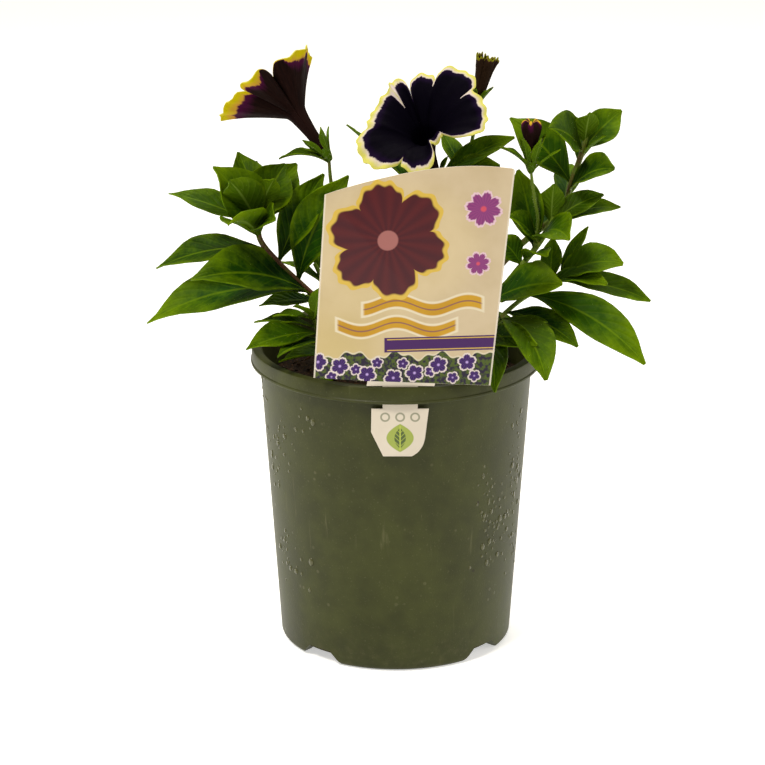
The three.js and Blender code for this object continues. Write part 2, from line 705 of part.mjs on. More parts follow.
addPiece("pot", pot(), OLIVE_PLASTIC, 0.55);
addPiece("potting_mix", pottingMix(), DARK_MIX, 0.95);
addPiece("plant_tag", plantTag(), CREAM_CARD, 0.45);
for (const [name, branches] of Object.entries(SHOOTS)) {
  addPiece(name, geometryOf(shoot(branches)), LEAF_GREEN, 0.6);
}
addPiece("left_bloom", trumpet({
  stemEnd: stemEnd("left_bloom_stem"),
  facing: facing("left_bloom_stem"),
  tube: 27,
  throat: 5,
  rise: 19,
  bow: 0.2,
  curl: 0,
  ruffle: 1,
  lobes: LEFT_LOBES,
  lobeColumns: 4,
}), BROWN_PURPLE, 0.6);
addPiece("front_bloom", trumpet({
  stemEnd: stemEnd("front_bloom_stem"),
  facing: facing("front_bloom_stem"),
  tube: 34,
  throat: 6.5,
  rise: 12,
  bow: 1,
  curl: 2,
  ruffle: 1.2,
  lobes: FRONT_LOBES,
  lobeColumns: 4,
}), BLACK_PURPLE, 0.6);
addPiece("closing_bloom", trumpet({
  stemEnd: stemEnd("closing_bloom_stem"),
  facing: facing("closing_bloom_stem"),
  tube: 18,
  throat: 4.4,
  rise: 5,
  bow: 0.2,
  curl: 0,
  ruffle: 1,
  lobes: CLOSING_LOBES,
  lobeColumns: 3,
}), BROWN_PURPLE, 0.7);
addPiece("bud", furledBud(SHOOTS.right_middle_shoot[1].path.at(-1)), BROWN_PURPLE, 0.7);

export default plant;
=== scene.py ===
"""A petunia in a round nursery pot with its plant tag: the looks of every piece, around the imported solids.

Sizes are in millimetres in the tables and in metres on the meshes, in the solids' own frame.
"""
import math
import random

import bpy
import numpy as np
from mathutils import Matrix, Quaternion, Vector


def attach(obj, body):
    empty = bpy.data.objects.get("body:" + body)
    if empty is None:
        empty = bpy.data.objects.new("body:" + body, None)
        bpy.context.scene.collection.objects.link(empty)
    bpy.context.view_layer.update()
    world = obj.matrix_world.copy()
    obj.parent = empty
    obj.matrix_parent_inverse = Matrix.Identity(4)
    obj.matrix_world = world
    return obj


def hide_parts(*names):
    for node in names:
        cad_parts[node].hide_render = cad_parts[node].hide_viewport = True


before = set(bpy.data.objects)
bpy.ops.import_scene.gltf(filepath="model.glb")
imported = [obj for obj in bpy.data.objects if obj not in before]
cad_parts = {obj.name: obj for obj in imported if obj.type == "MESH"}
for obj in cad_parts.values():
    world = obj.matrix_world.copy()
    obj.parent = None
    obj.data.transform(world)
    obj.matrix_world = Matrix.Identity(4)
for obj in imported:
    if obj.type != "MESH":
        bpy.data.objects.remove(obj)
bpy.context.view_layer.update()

MM = 0.001
UP = np.array([0.0, 0.0, 1.0])
ANY_PHASE = 6.3  # Random phases lie between 0 and this, about one full turn.

# Pot: a 140 mm nursery pot with a skirted rim.
RIM_RADIUS = 70
POT_HEIGHT = 148.4
LEDGE_THICKNESS = 1.5
SKIRT_HEIGHT = 8
SKIRT_THICKNESS = 1.3
BEAD = 0.4
WALL_TOP_RADIUS = 66.5
WALL_FOOT_RADIUS = 56.4
WALL_THICKNESS = 1.4
FOOT_ROUNDING = 2.4
FOOT_RING_INNER = 50
FLOOR_RECESS = 3
FLOOR_THICKNESS = 1.3
POT_SIDES = 176
NOTCH_ANGLES = (-131, -41, 49, 139)
NOTCH_HEIGHT = 6.2
NOTCH_FOOT_WIDTH = 26
NOTCH_TOP_WIDTH = 13
NOTCH_INNER_RADIUS = 47

# Potting mix.
SOIL_LEVEL = 130
SOIL_RELIEF = 1.4
SOIL_RINGS = 40
SOIL_SIDES = 120
GAP = 0.3
ROOT = 120
BARK_SEED = 5
BARK_COUNT = 420
BARK_REACH = 61.0

# Drops on the pot's wall. Clusters have a mean azimuth and a spread in degrees, where -90 is the viewer's side, and
# the drops of one cluster spread round it by degrees and by height.
DROP_SEED = 11
DROP_COUNT = 230
DROP_CLUSTERS = 26
RIGHT_DROPS = (-26, 13)
LEFT_DROPS = (-158, 8)
DROP_HEIGHTS = (46, 136)
DROP_SPREAD = (3.5, 6)
DROP_LIMITS = (12, 138.5)
DROP_RELIEF = 0.42

# Plant tag.
TAG_THICKNESS = 0.7
TAG_ROUNDING = 0.08
TAG_PLANE_Y = -67.3
NECK_X = 1.7
NECK_HALF = 8.2
TAB_HALF = 13.4
TAB_BELOW_SKIRT = 2.8
TAB_FOOT_HALF = 6.7
TAB_FOOT_Z = 114
STEM_HALF = 15.4
LABEL_FOOT_Z = 150.2
LABEL_FOOT_LEFT = (-38.6, 152.8)
LABEL_FOOT_RIGHT = (43.7, 149)
LABEL_TOP_RIGHT = (53.8, 251.6)
LEFT_EDGE_LEAN = 0.0638
RIGHT_EDGE_LEAN = 0.0984
SLOT_WIDTH = 18.4
SLOT_THICKNESS = 1.4

# Leaves, stems and flowers.
LEAF_THICKNESS = 0.55
LEAF_FOLD = 20
LEAF_WAVE = 0.06
LEAF_RIPPLE = 0.018
LEAF_COLUMNS = 8
LEAF_ROWS = 14
FIRST_SHOOT_SEED = 20
HAIR_RADIUS = 0.045
# How brown each shoot's stems are, 0 to 1.
BROWN_STEMS = {"left_shoot": 0.85, "right_tall_shoot": 0.6, "left_bloom_stem": 0.55, "front_bloom_stem": 0.4,
               "left_low_shoot": 0.5}
OTHER_STEMS = 0.25
CALYX_LENGTH = 4.5
CALYX_RADIUS = 2.9
SEPAL_COUNT = 5
SEPAL_THICKNESS = 0.6
COROLLA_THICKNESS = 0.55
LIMB_START = 0.42
LOBE_FULLNESS = 0.45
PETAL_COLUMNS = 26
CREASE_WIDTH = 0.25
CREASE_DEPTH = 0.05
FOLD_WIDTH = 2.4
FOLD_TAPER = 14
FOLD_HEIGHT = 1.8
BUD_HEIGHTS = (-2.5, 0, 5, 10, 14.5, 17.4, 18.6, 17.6, 16.4)
BUD_RADII = (0, 1.8, 2.3, 3.3, 4.5, 4.4, 2.9, 1.2, 0)
BUD_RINGS = 48
BUD_SIDES = 60
BUD_PLEAT = 0.13
GOLDEN_ANGLE = 137.5

# Light and camera, in metres. A light's row holds its name, its place, the height on the axis that it looks at, its
# size and its watts.
LIGHT_COLOUR = (1, 0.95, 0.86)
SKY_COLOUR = (1, 0.94, 0.82, 1)
SKY_STRENGTH = 0.26
LIGHTS = (
    ("key", (-0.6, -0.8, 1.5), 0.15, 0.45, 20),
    ("fill", (1.1, -0.7, 0.8), 0.15, 0.8, 3.5),
    ("top", (0.1, 0.5, 1.4), 0.2, 0.8, 13),
    ("left_side", (-1.1, 0.25, 0.25), 0.12, 0.5, 3),
    ("right_side", (1.1, 0.25, 0.25), 0.12, 0.5, 2.5),
)
CAMERA_PLACE = (-0.00653, -1.5191, 0.6305)
CAMERA_TARGET = (-0.00653, 0, 0.1281)
SENSOR_WIDTH = 36
FOCAL_LENGTH = 154.7

# A shoot is one or more branches. A leaf row holds its place on the branch, counted in path points, its azimuth
# (0 right, 90 away, 180 left, 270 to the viewer), its elevation where it leaves the stem, its length, its width, its
# droop over that length and, where it is turned, its roll. A calyx has its facing, its sepals' length and how far
# they spread, in degrees. A spiral's rows are worked out from its seed, count, first azimuth and longest leaf.
SHOOTS = {
    "left_shoot": [{
        "radius": 1.7,
        "path": [
            [-6, -4, ROOT], [-7, -4, 138], [-22, -8, 157], [-40, -11, 176], [-56, -14, 193], [-65, -16, 206],
            [-64, -15, 219],
        ],
        "leaves": [
            [2.8, 192, 12, 30, 12, 25, -20], [3, 210, 37, 69, 29, 45, -35], [3.1, 184, 12, 81, 25, 45, -35],
            [3.4, 335, 79, 62, 25, 30, 105], [4, 10, 70, 48, 20, 15, 65], [4.5, 175, 6, 55, 18, 35, -30],
            [5, 246, 52, 36, 24, 55, 20], [5.1, 292, 55, 28, 18, 50, 50], [4.9, 188, 74, 43, 27, 30, -55],
            [5.4, 170, 28, 46, 16, 20, -25], [5.4, 51, 54, 38, 21, 25, 35], [5.4, 235, 62, 35, 22, 22, 40],
            [5.6, 28, 74, 30, 25, 25, 50], [5.8, 121, 61, 34, 17, 20, -20], [6, 300, 64, 23, 12, 20, -40],
            [6, 98, 50, 27, 10, 10],
        ],
    }],
    "left_low_shoot": [{
        "radius": 1.3,
        "path": [[-12, -14, ROOT], [-13, -15, 138], [-26, -21, 150], [-36, -26, 160], [-39, -29, 169]],
        "leaves": [
            [1.5, 238, 15, 31, 16, 50], [1.4, 284, 22, 27, 14, 50], [1.7, 205, 22, 38, 15, 35],
            [2, 262, 25, 38, 15, 50], [2.4, 232, 29, 42, 15, 45], [3.2, 217, 12, 42, 17, 25, -25],
            [3.5, 180, 20, 30, 12, 30], [4, 226, 50, 17, 9, 30], [4, 188, 22, 20, 10, 30], [4, 75, 55, 18, 9, 20],
        ],
    }],
    "left_bloom_stem": [{
        "radius": 1.1,
        "path": [[-4, 5, ROOT], [-5, 4, 140], [-13, 2, 170], [-25, -4, 208], [-30.5, -7, 228], [-32, -8, 243]],
        "calyx": {"facing": [-0.58, 0.38, 0.72], "sepal": 14, "spread": 26},
        "leaves": [[4.8, 184, 36, 25, 10, 60], [2.2, 100, 40, 40, 16, 35], [2.8, 60, 50, 30, 12, 30]],
    }],
    "front_bloom_stem": [{
        "radius": 1.2,
        "path": [[4, 2, ROOT], [5, 2, 140], [9, 5, 175], [16, 6, 210], [19, 4, 225], [19.5, 1, 231]],
        "calyx": {"facing": [-0.2, -0.62, 0.76], "sepal": 12, "spread": 26},
        "leaves": [
            [4.2, 352, 48, 45, 14, 30, 45], [3.9, 336, 42, 37, 17, 35, 45], [3, 216, 55, 46, 15, 60],
            [3.2, 168, 48, 57, 15, 10], [2.4, 280, 35, 35, 14, 40],
        ],
    }],
    "closing_bloom_stem": [{
        "radius": 1.1,
        "path": [[10, 9, ROOT], [11, 10, 140], [20, 13, 175], [31, 16, 220], [37, 9, 251], [38, 4, 266]],
        "calyx": {"facing": [0.22, 0.05, 0.97], "sepal": 10, "spread": 24},
        "leaves": [
            [2.2, 80, 30, 42, 17, 35], [2.8, 10, 40, 34, 14, 30], [3.2, 120, 50, 28, 11, 20],
            [1.8, 140, 50, 38, 15, 30],
        ],
    }],
    "right_tall_shoot": [{
        "radius": 1.7,
        "path": [
            [10, 3, ROOT], [12, 3, 140], [30, 4, 162], [58, 3, 195], [78, 2, 213], [84, 3, 229], [89, 5, 243],
            [91, 6, 252],
        ],
        "leaves": [
            [6, 22, 51, 27, 18, 20, 50], [6.4, 129, 51, 17, 8, 10], [6.3, 286, 77, 18, 14, 15],
            [5.9, 231, 55, 33, 22, 45, -60], [5.8, 332, 47, 17, 5, 10], [4.6, 312, 53, 36, 22, 45, 40],
            [4.9, 160, 56, 43, 22, 25, -50], [5.5, 70, 45, 30, 13, 30], [4.2, 80, 35, 38, 15, 35],
            [3.3, 60, 20, 42, 16, 40], [7, 60, 60, 10, 5, 10], [7, 240, 60, 10, 5, 10],
        ],
    }],
    "right_middle_shoot": [{
        "radius": 1.9,
        "path": [
            [13, -5, ROOT], [15, -6, 140], [32, -9, 158], [48, -10, 175], [58, -10, 188], [66, -9, 198],
            [73, -8, 209], [75, -8, 214],
        ],
        "leaves": [
            [6.2, 280, 84, 21, 14, 10], [6.2, 4, 44, 29, 13, 30, 45], [6.1, 12, 31, 36, 12, 40, 30],
            [5.3, 295, 54, 34, 22, 75, 30], [5.2, 221, 59, 27, 15, 35, -50], [4.2, 195, 65, 20, 14, 30, -60],
            [5, 129, 81, 39, 20, 20, -60], [2.8, 318, 37, 48, 26, 30, 40], [4.4, 290, 40, 30, 14, 40],
        ],
    }, {
        "radius": 0.9,
        "path": [[66, -9, 199], [67.5, -11, 212], [65, -12, 227], [63.6, -12, 238]],
        "calyx": {"facing": [0, 0, 1], "sepal": 17, "spread": 14},
        "leaves": [[2.9, 194, 59, 21, 9, 40], [2.9, 350, 45, 18, 4, 10]],
    }],
    "right_low_shoot": [{
        "radius": 1.5,
        "path": [[16, -11, ROOT], [18, -12, 139], [36, -13, 151], [56, -13, 171], [68, -10, 178], [79, -8, 182]],
        "leaves": [
            [3.6, 329, 1, 69, 22, 45, 40], [2.8, 322, 8, 44, 17, 40, 25], [5, 2, 0, 45, 15, 28, 35],
            [4.8, 345, 50, 36, 23, 60, 30], [4.9, 43, 55, 31, 9, 10], [5, 25, 40, 28, 10, 30],
            [4.5, 80, 65, 24, 11, 10], [4.1, 335, 38, 36, 17, 55, 15], [3.6, 70, 25, 42, 17, 40],
        ],
    }],
    "right_front_shoot": [{
        "radius": 1.3,
        "path": [[11, -17, ROOT], [12, -18, 138], [28, -24, 150], [42, -27, 160], [50, -26, 168]],
        "leaves": [
            [2.6, 313, 32, 44, 15, 40, 45], [3, 140, 60, 22, 11, 25], [3.5, 315, 9, 31, 11, 20],
            [4, 296, 20, 52, 24, 82], [3.2, 273, 18, 44, 15, 90], [1.6, 318, 15, 27, 15, 50],
            [4, 335, 15, 24, 7, 20], [4, 200, 50, 20, 9, 30],
        ],
    }],
    "back_left_shoot": [{
        "radius": 1.5,
        "path": [[-9, 11, ROOT], [-10, 12, 138], [-21, 22, 152], [-33, 31, 166], [-40, 36, 178]],
        "spiral": {"seed": 1, "count": 8, "azimuth": 0, "longest": 38},
    }],
    "back_shoot": [{
        "radius": 1.5,
        "path": [[1, 14, ROOT], [1, 15, 138], [0, 30, 154], [-1, 42, 170], [-1, 47, 184]],
        "spiral": {"seed": 3, "count": 8, "azimuth": 60, "longest": 44},
    }],
    "back_right_shoot": [{
        "radius": 1.5,
        "path": [[17, 13, ROOT], [18, 14, 138], [28, 27, 152], [38, 40, 166], [42, 46, 180]],
        "spiral": {"seed": 1, "count": 8, "azimuth": 0, "longest": 38},
    }],
}

# The lobes of the flowers, in order round the limb: where each begins, in degrees, the rim's radius at that notch,
# the radius that the lobe reaches, how far it is lifted and the radius from which a pale fold runs out to its notch,
# or 99 where it has none.
LEFT_LOBES = (
    (150, 26, 31, 0, 99),
    (240, 23, 35, 0, 99),
    (276, 15, 28.5, 0, 99),
    (345, 19, 22, 0, 99),
    (430, 20, 27, 0, 99),
)
FRONT_LOBES = (
    (320, 14, 32, 0, 99),
    (385, 31, 35, 0, 22),
    (428, 27, 28.5, 0, 21),
    (459, 17, 29.5, 0, 99),
    (479, 27, 24.5, 0, 13.5),
    (537, 27, 32, 0, 26),
    (603, 24, 29, 0, 21),
    (647, 16, 13.5, -3, 99),
)
CLOSING_LOBES = (
    (36, 4.6, 5.8, 0, 99),
    (108, 4.6, 5.4, 1, 99),
    (180, 4.6, 5.8, 0, 99),
    (252, 4.6, 5.4, 1, 99),
    (324, 4.6, 5.8, 0, 99),
)

# ---- shader helpers

def paint(red, green, blue):
    """A colour given as it looks on a screen, 0 to 255, in the shader's linear values."""
    def linear(level):
        share = level / 255
        return share / 12.92 if share <= 0.04045 else ((share + 0.055) / 1.055) ** 2.4
    return (linear(red), linear(green), linear(blue), 1)


class Value:
    """A number inside a material that takes part in ordinary arithmetic."""

    def __init__(self, finish, socket):
        self.finish = finish
        self.socket = socket

    def maths(self, operation, *others, before=False):
        terms = [*others, self] if before else [self, *others]
        made = self.finish.node("ShaderNodeMath", dict(enumerate(terms)), operation=operation)
        return Value(self.finish, made.outputs[0])

    def __add__(self, other): return self.maths("ADD", other)
    def __sub__(self, other): return self.maths("SUBTRACT", other)
    def __rsub__(self, other): return self.maths("SUBTRACT", other, before=True)
    def __mul__(self, other): return self.maths("MULTIPLY", other)
    def __truediv__(self, other): return self.maths("DIVIDE", other)
    def __pow__(self, other): return self.maths("POWER", other)
    def __abs__(self): return self.maths("ABSOLUTE")
    def cos(self): return self.maths("COSINE")
    def fraction(self): return self.maths("FRACT")
    def lowest(self, other): return self.maths("MINIMUM", other)
    def highest(self, other): return self.maths("MAXIMUM", other)
    __radd__ = __add__
    __rmul__ = __mul__

    def step(self, low, high):
        """0 below low, 1 above high and smooth between them; it falls where high is the lower."""
        flip = high < low
        edges = (high, low) if flip else (low, high)
        made = self.finish.node("ShaderNodeMapRange", {
            "Value": self, "From Min": edges[0], "From Max": edges[1], "To Min": 1 if flip else 0,
            "To Max": 0 if flip else 1}, interpolation_type="SMOOTHSTEP", clamp=True)
        return Value(self.finish, made.outputs[0])


class Finish:
    """One material. Every node of it comes from node(). Its colour is begun by base() and built up by over(), and
    wear() puts it on. Colours are given 0 to 255, as they look on a screen."""

    def __init__(self, name, **constants):
        self.material = bpy.data.materials.new(name)
        self.material.use_nodes = True
        self.tree = self.material.node_tree
        self.tree.nodes.clear()
        self.shader = self.node("ShaderNodeBsdfPrincipled", constants)
        self.node("ShaderNodeOutputMaterial", {"Surface": self.shader.outputs[0]})
        self.place = self.node("ShaderNodeTexCoord").outputs["Object"]

    def node(self, kind, sockets=None, **settings):
        made = self.tree.nodes.new(kind)
        for name, setting in settings.items():
            setattr(made, name, setting)
        for name, content in (sockets or {}).items():
            self.put(made.inputs[name], content)
        return made

    def put(self, socket, content):
        if isinstance(content, Value):
            content = content.socket
        if isinstance(content, bpy.types.NodeSocket):
            self.tree.links.new(content, socket)
        else:
            socket.default_value = content

    def parts(self, kind, source):
        """The parts of a place or of a colour, as values."""
        return [Value(self, out) for out in self.node(kind, {0: source}).outputs]

    def axes(self):
        """X, Y and Z of the place on the piece, in millimetres."""
        return [part * 1000 for part in self.parts("ShaderNodeSeparateXYZ", self.place)]

    def across_along(self):
        """The piece's own two directions, 0 to 1, from its map."""
        read = self.node("ShaderNodeUVMap", uv_map="UVMap")
        return self.parts("ShaderNodeSeparateXYZ", read.outputs[0])[:2]

    def tone(self):
        """The two values that each point carries: chance and youth or shade on leaves, stems and bark, and on petals
        how far inside the pale margin it is, 0.5 at its edge, and how far inside a fold."""
        read = self.node("ShaderNodeAttribute", attribute_name="tone")
        return self.parts("ShaderNodeSeparateColor", read.outputs["Color"])[:2]

    def noise(self, size, detail=3, stretch=(1, 1, 1), roughness=0.5):
        """Noise from 0 to 1 whose features are about this many millimetres across."""
        scale = tuple(1 / part for part in stretch)
        spot = self.node("ShaderNodeMapping", {"Vector": self.place, "Scale": scale})
        made = self.node("ShaderNodeTexNoise", {
            "Vector": spot.outputs[0], "Scale": 1000 / size, "Detail": detail, "Roughness": roughness})
        return Value(self, made.outputs[0])

    def specks(self, size):
        """Distance to scattered points that lie about this many millimetres apart, 0 at each."""
        made = self.node("ShaderNodeTexVoronoi", {"Vector": self.place, "Scale": 1000 / size, "Randomness": 1.0})
        return Value(self, made.outputs["Distance"])

    def blend(self, share, low, high):
        """One colour that turns into another."""
        low, high = (paint(*end) if isinstance(end, tuple) else end for end in (low, high))
        made = self.node("ShaderNodeMix", {0: share, 6: low, 7: high}, data_type="RGBA", clamp_factor=True)
        return made.outputs[2]

    def base(self, share, low, high):
        self.colour = self.blend(share, low, high)

    def over(self, share, colour):
        self.colour = self.blend(share, self.colour, colour)

    def wear(self, roughness, height=None, depth=0.1):
        """Puts what varies over the surface on the shader; depth is the height's range in millimetres."""
        self.put(self.shader.inputs["Base Color"], self.colour)
        self.put(self.shader.inputs["Roughness"], roughness)
        if height is not None:
            bump = self.node("ShaderNodeBump", {"Height": height, "Distance": depth * MM, "Strength": 1.0})
            self.put(self.shader.inputs["Normal"], bump.outputs[0])
        return self.material


# ---- finishes

def leaf_finish(name, dark, light, young_and_lit_green, vein, shine, relief):
    """A leaf's face: mottled green, a pale midrib and side veins, a thin pale margin that is partly painted
    highlight, and a painted highlight towards the tip and the margins.
    """
    leaf = Finish(name, **{"Subsurface Weight": 0.03, "Subsurface Radius": (0.6, 1.2, 0.1),
                           "Subsurface Scale": 0.0012, "Specular IOR Level": 0.06})
    across, along = leaf.across_along()
    chance, youth = leaf.tone()
    aside = abs(across * 2 - 1)
    mottle_wide = leaf.noise(7, 4)
    mottle = mottle_wide * 0.75 + leaf.noise(1.3, 2) * 0.25
    rib = aside.step(0.085, 0.02)
    spread = (along - aside * 0.3) * 8.5
    off_vein = abs(spread.fraction() - 0.5)
    branch_vein = off_vein.step(0.13, 0.02) * aside.step(0.97, 0.8)
    # The pale margin is partly the leaf's own colour and partly painted highlight.
    edge = aside.step(0.7, 1) * (mottle_wide.step(0.35, 0.65) * 0.6 + 0.4)
    # The ground green runs from dark at the leaf's foot to light at its tip.
    leaf.base((mottle - 0.5) * 1.6 + chance * 0.55 + along * 0.75 - 0.2, dark, light)
    # Painted highlight: lighter towards the tip and the margins, and in patches. It is laid on in the young leaves'
    # green, together with their youth and the pale margin.
    painted_highlight = (along - 0.4) * 1.1 * (chance * 0.6 + 0.4) + (aside - 0.6) * 0.25 + (mottle - 0.5) * 0.9
    leaf.over((youth * 0.35).highest(painted_highlight).highest(edge * 0.5), young_and_lit_green)
    leaf.over(branch_vein * 0.09, vein)
    leaf.over(rib * 0.4, vein)
    swell = off_vein.step(0.02, 0.4) * aside.step(0.02, 0.3)
    height = swell * 0.8 + leaf.noise(0.7, 2) * 0.22 + leaf.noise(3, 2) * 0.3
    return leaf.wear(0.44 + leaf.noise(2.2, 3) * 0.22 + shine, height, relief)


def stem_finish():
    """Stems: light green, flushed brown towards the foot, with fine lengthwise lines."""
    stem = Finish("stem_green", **{"Subsurface Weight": 0.08, "Subsurface Radius": (0.6, 1.2, 0.2),
                                   "Subsurface Scale": 0.001, "Specular IOR Level": 0.3})
    chance = stem.tone()[0]
    flush = (chance * 0.9 + (stem.noise(5, 3) - 0.5) * 1.4 + 0.1).step(0.35, 0.9)
    stem.base(stem.noise(2, 3), (68, 92, 14), (112, 134, 30))
    stem.over(flush, (84, 50, 26))
    height = stem.noise(1.1, 2, (1, 1, 8)) + stem.noise(0.5, 2) * 0.4
    return stem.wear(0.5 + stem.noise(1.5, 2) * 0.2, height, 0.12)


def petal_finish(name, deep, glow, flush, cream, warm, relief):
    """A petal's face: dark with radial veins, and a pale margin and pale folds with a feathered edge."""
    petal = Finish(name, **{"Specular IOR Level": 0.03})
    around, out = petal.across_along()
    pale_place, fold = petal.tone()
    rays = petal.node("ShaderNodeCombineXYZ", {0: around * 110, 1: out * 5})
    streak = petal.node("ShaderNodeTexNoise", {"Vector": rays.outputs[0], "Scale": 1.0, "Detail": 3.0},
                        noise_dimensions="2D")
    fine = Value(petal, streak.outputs[0])
    wander = petal.noise(3.5, 3)
    reach = (pale_place - 0.5) * 4 + (fine - 0.5) * 0.5 + (wander - 0.5) * 0.5
    petal.base(fine, deep, glow)
    petal.over(reach.step(-1.1, 0.05) * 0.7, flush)
    yellow = (petal.noise(6, 3) - 0.5) * 1.2 + reach * 1.6 - 0.1
    edge = petal.blend(yellow - fold, warm, cream)
    petal.over(reach.step(-0.03, 0.2), edge)
    height = fine * 0.7 + petal.noise(1.1, 3) * 0.5
    return petal.wear(0.62 + wander * 0.2, height, relief)


def pot_finish():
    """Recycled olive plastic: a fine moulded grain, cloudy flow marks, dust, scuffs and dried splashes."""
    plastic = Finish("pot_plastic", **{"Specular IOR Level": 0.2})
    z = plastic.axes()[2]
    cloud = plastic.noise(38, 4) * 0.6 + plastic.noise(9, 3) * 0.4
    plastic.base(cloud.step(0.3, 0.72), (46, 49, 16), (60, 64, 25))
    grain = plastic.noise(0.9, 2)
    plastic.over(grain.step(0.62, 0.78) * 0.2, (118, 116, 84))
    splash = plastic.specks(6.5).step(0.17, 0.08) * plastic.noise(26, 2).step(0.5, 0.62)
    plastic.over(splash * 0.2, (116, 112, 82))
    scuff = plastic.noise(5, 4, (1, 1, 9)).step(0.66, 0.78)
    plastic.over(scuff * 0.22, (132, 128, 96))
    soil_mark = plastic.specks(21).step(0.045, 0.03)
    plastic.over(soil_mark * 0.7, (38, 30, 18))
    dust = z.step(26, 0) * plastic.noise(3, 4).step(0.45, 0.8)
    plastic.over(dust * 0.16, (104, 94, 68))
    height = grain * 0.35 + plastic.noise(22, 2) * 1.2 - scuff * 0.2 + splash * 0.3
    return plastic.wear(0.4 + cloud * 0.16 + scuff * 0.12 - splash * 0.12, height, 0.16)


def water_finish():
    """Drops of water that stand on the pot's wall."""
    water = Finish("water_drop", **{"Specular IOR Level": 0.4, "Coat Weight": 0.35, "Coat Roughness": 0.1,
                                    "IOR": 1.33})
    water.base(water.noise(2, 2), (62, 64, 34), (84, 84, 52))
    return water.wear(0.16 + water.noise(1, 2) * 0.1)


def hair_finish():
    """Fine hairs, pale green."""
    hair = Finish("fine_hair", **{"Specular IOR Level": 0.3})
    hair.base(hair.noise(1, 2), (150, 170, 96), (206, 214, 164))
    return hair.wear(0.5 + hair.noise(1, 2) * 0.2)


def floor_finish():
    """The studio's pale floor, which shines a little by itself so that it comes out nearly white."""
    ground = Finish("pale_floor", **{"Specular IOR Level": 0.1, "Emission Color": (1, 1, 1, 1),
                                     "Emission Strength": 0.5})
    ground.base(ground.noise(400, 2), (246, 246, 246), (250, 250, 250))
    return ground.wear(0.9 + ground.noise(90, 2) * 0.05)


def mix_finish():
    """Potting mix: dark fibre and bark, damp in places."""
    soil = Finish("potting_mix", **{"Specular IOR Level": 0.2})
    soil.base(soil.noise(2.2, 5, roughness=0.7).step(0.35, 0.7), (22, 15, 10), (64, 44, 28))
    soil.over(soil.specks(3.2).step(0.2, 0.1) * 0.6, (96, 72, 46))
    height = soil.noise(2.6, 5, roughness=0.65) + soil.noise(0.8, 3) * 0.5
    return soil.wear(0.8 + soil.noise(3, 2) * 0.18, height, 0.9)


def bark_finish():
    """Bits of bark and fibre in the mix, each its own brown."""
    bark = Finish("bark_bits", **{"Specular IOR Level": 0.2})
    chance, shade = bark.tone()
    bark.base(chance, (34, 22, 14), (92, 64, 38))
    bark.over(shade.step(0.9, 0.95), (176, 168, 148))
    height = bark.noise(0.7, 3, (1, 1, 3))
    return bark.wear(0.75 + bark.noise(1.4, 2) * 0.2, height, 0.3)


def plain_card_finish():
    """The tag's unprinted plastic: white, very slightly cloudy, with one small green leaf on the tab."""
    card = Finish("card_white", **{"Specular IOR Level": 0.45})
    x, _, z = card.axes()
    card.base(card.noise(11, 3), (192, 182, 164), (206, 197, 182))
    # The leaf on the tab has a pale edge, a dark heart and pale ribs, and three rings stand above it.
    leaf_x = abs(x - NECK_X)
    blade = (leaf_x - (z - 116.2) * (130 - z) * 0.13).step(0.35, 0) * z.step(115.9, 116.4) * z.step(130.5, 130)
    card.over(blade * 0.9, (132, 150, 4))
    heart = (leaf_x - (z - 118) * (128 - z) * 0.1).step(0.35, 0) * z.step(117.7, 118.2) * z.step(128.5, 128)
    card.over(heart * 0.9, (44, 66, 12))
    rib = (leaf_x.step(0.45, 0.2) + abs(((z - leaf_x) * 0.45).fraction() - 0.5).step(0.12, 0.04) * heart).lowest(1)
    card.over(rib * z.step(116.8, 117.6) * z.step(129.4, 128.6) * 0.8, (170, 184, 60))
    for side in (-1, 0, 1):
        span = ((x - NECK_X - side * 7) ** 2 + (z - 133.4) ** 2) ** 0.5
        card.over(abs(span - 1.9).step(0.55, 0.3) * 0.7, (92, 100, 70))
    scuff = card.noise(4, 4, (5, 1, 1)).step(0.6, 0.75)
    return card.wear(0.34 + scuff * 0.16, card.noise(14, 2) + card.noise(0.8, 2) * 0.1, 0.12)


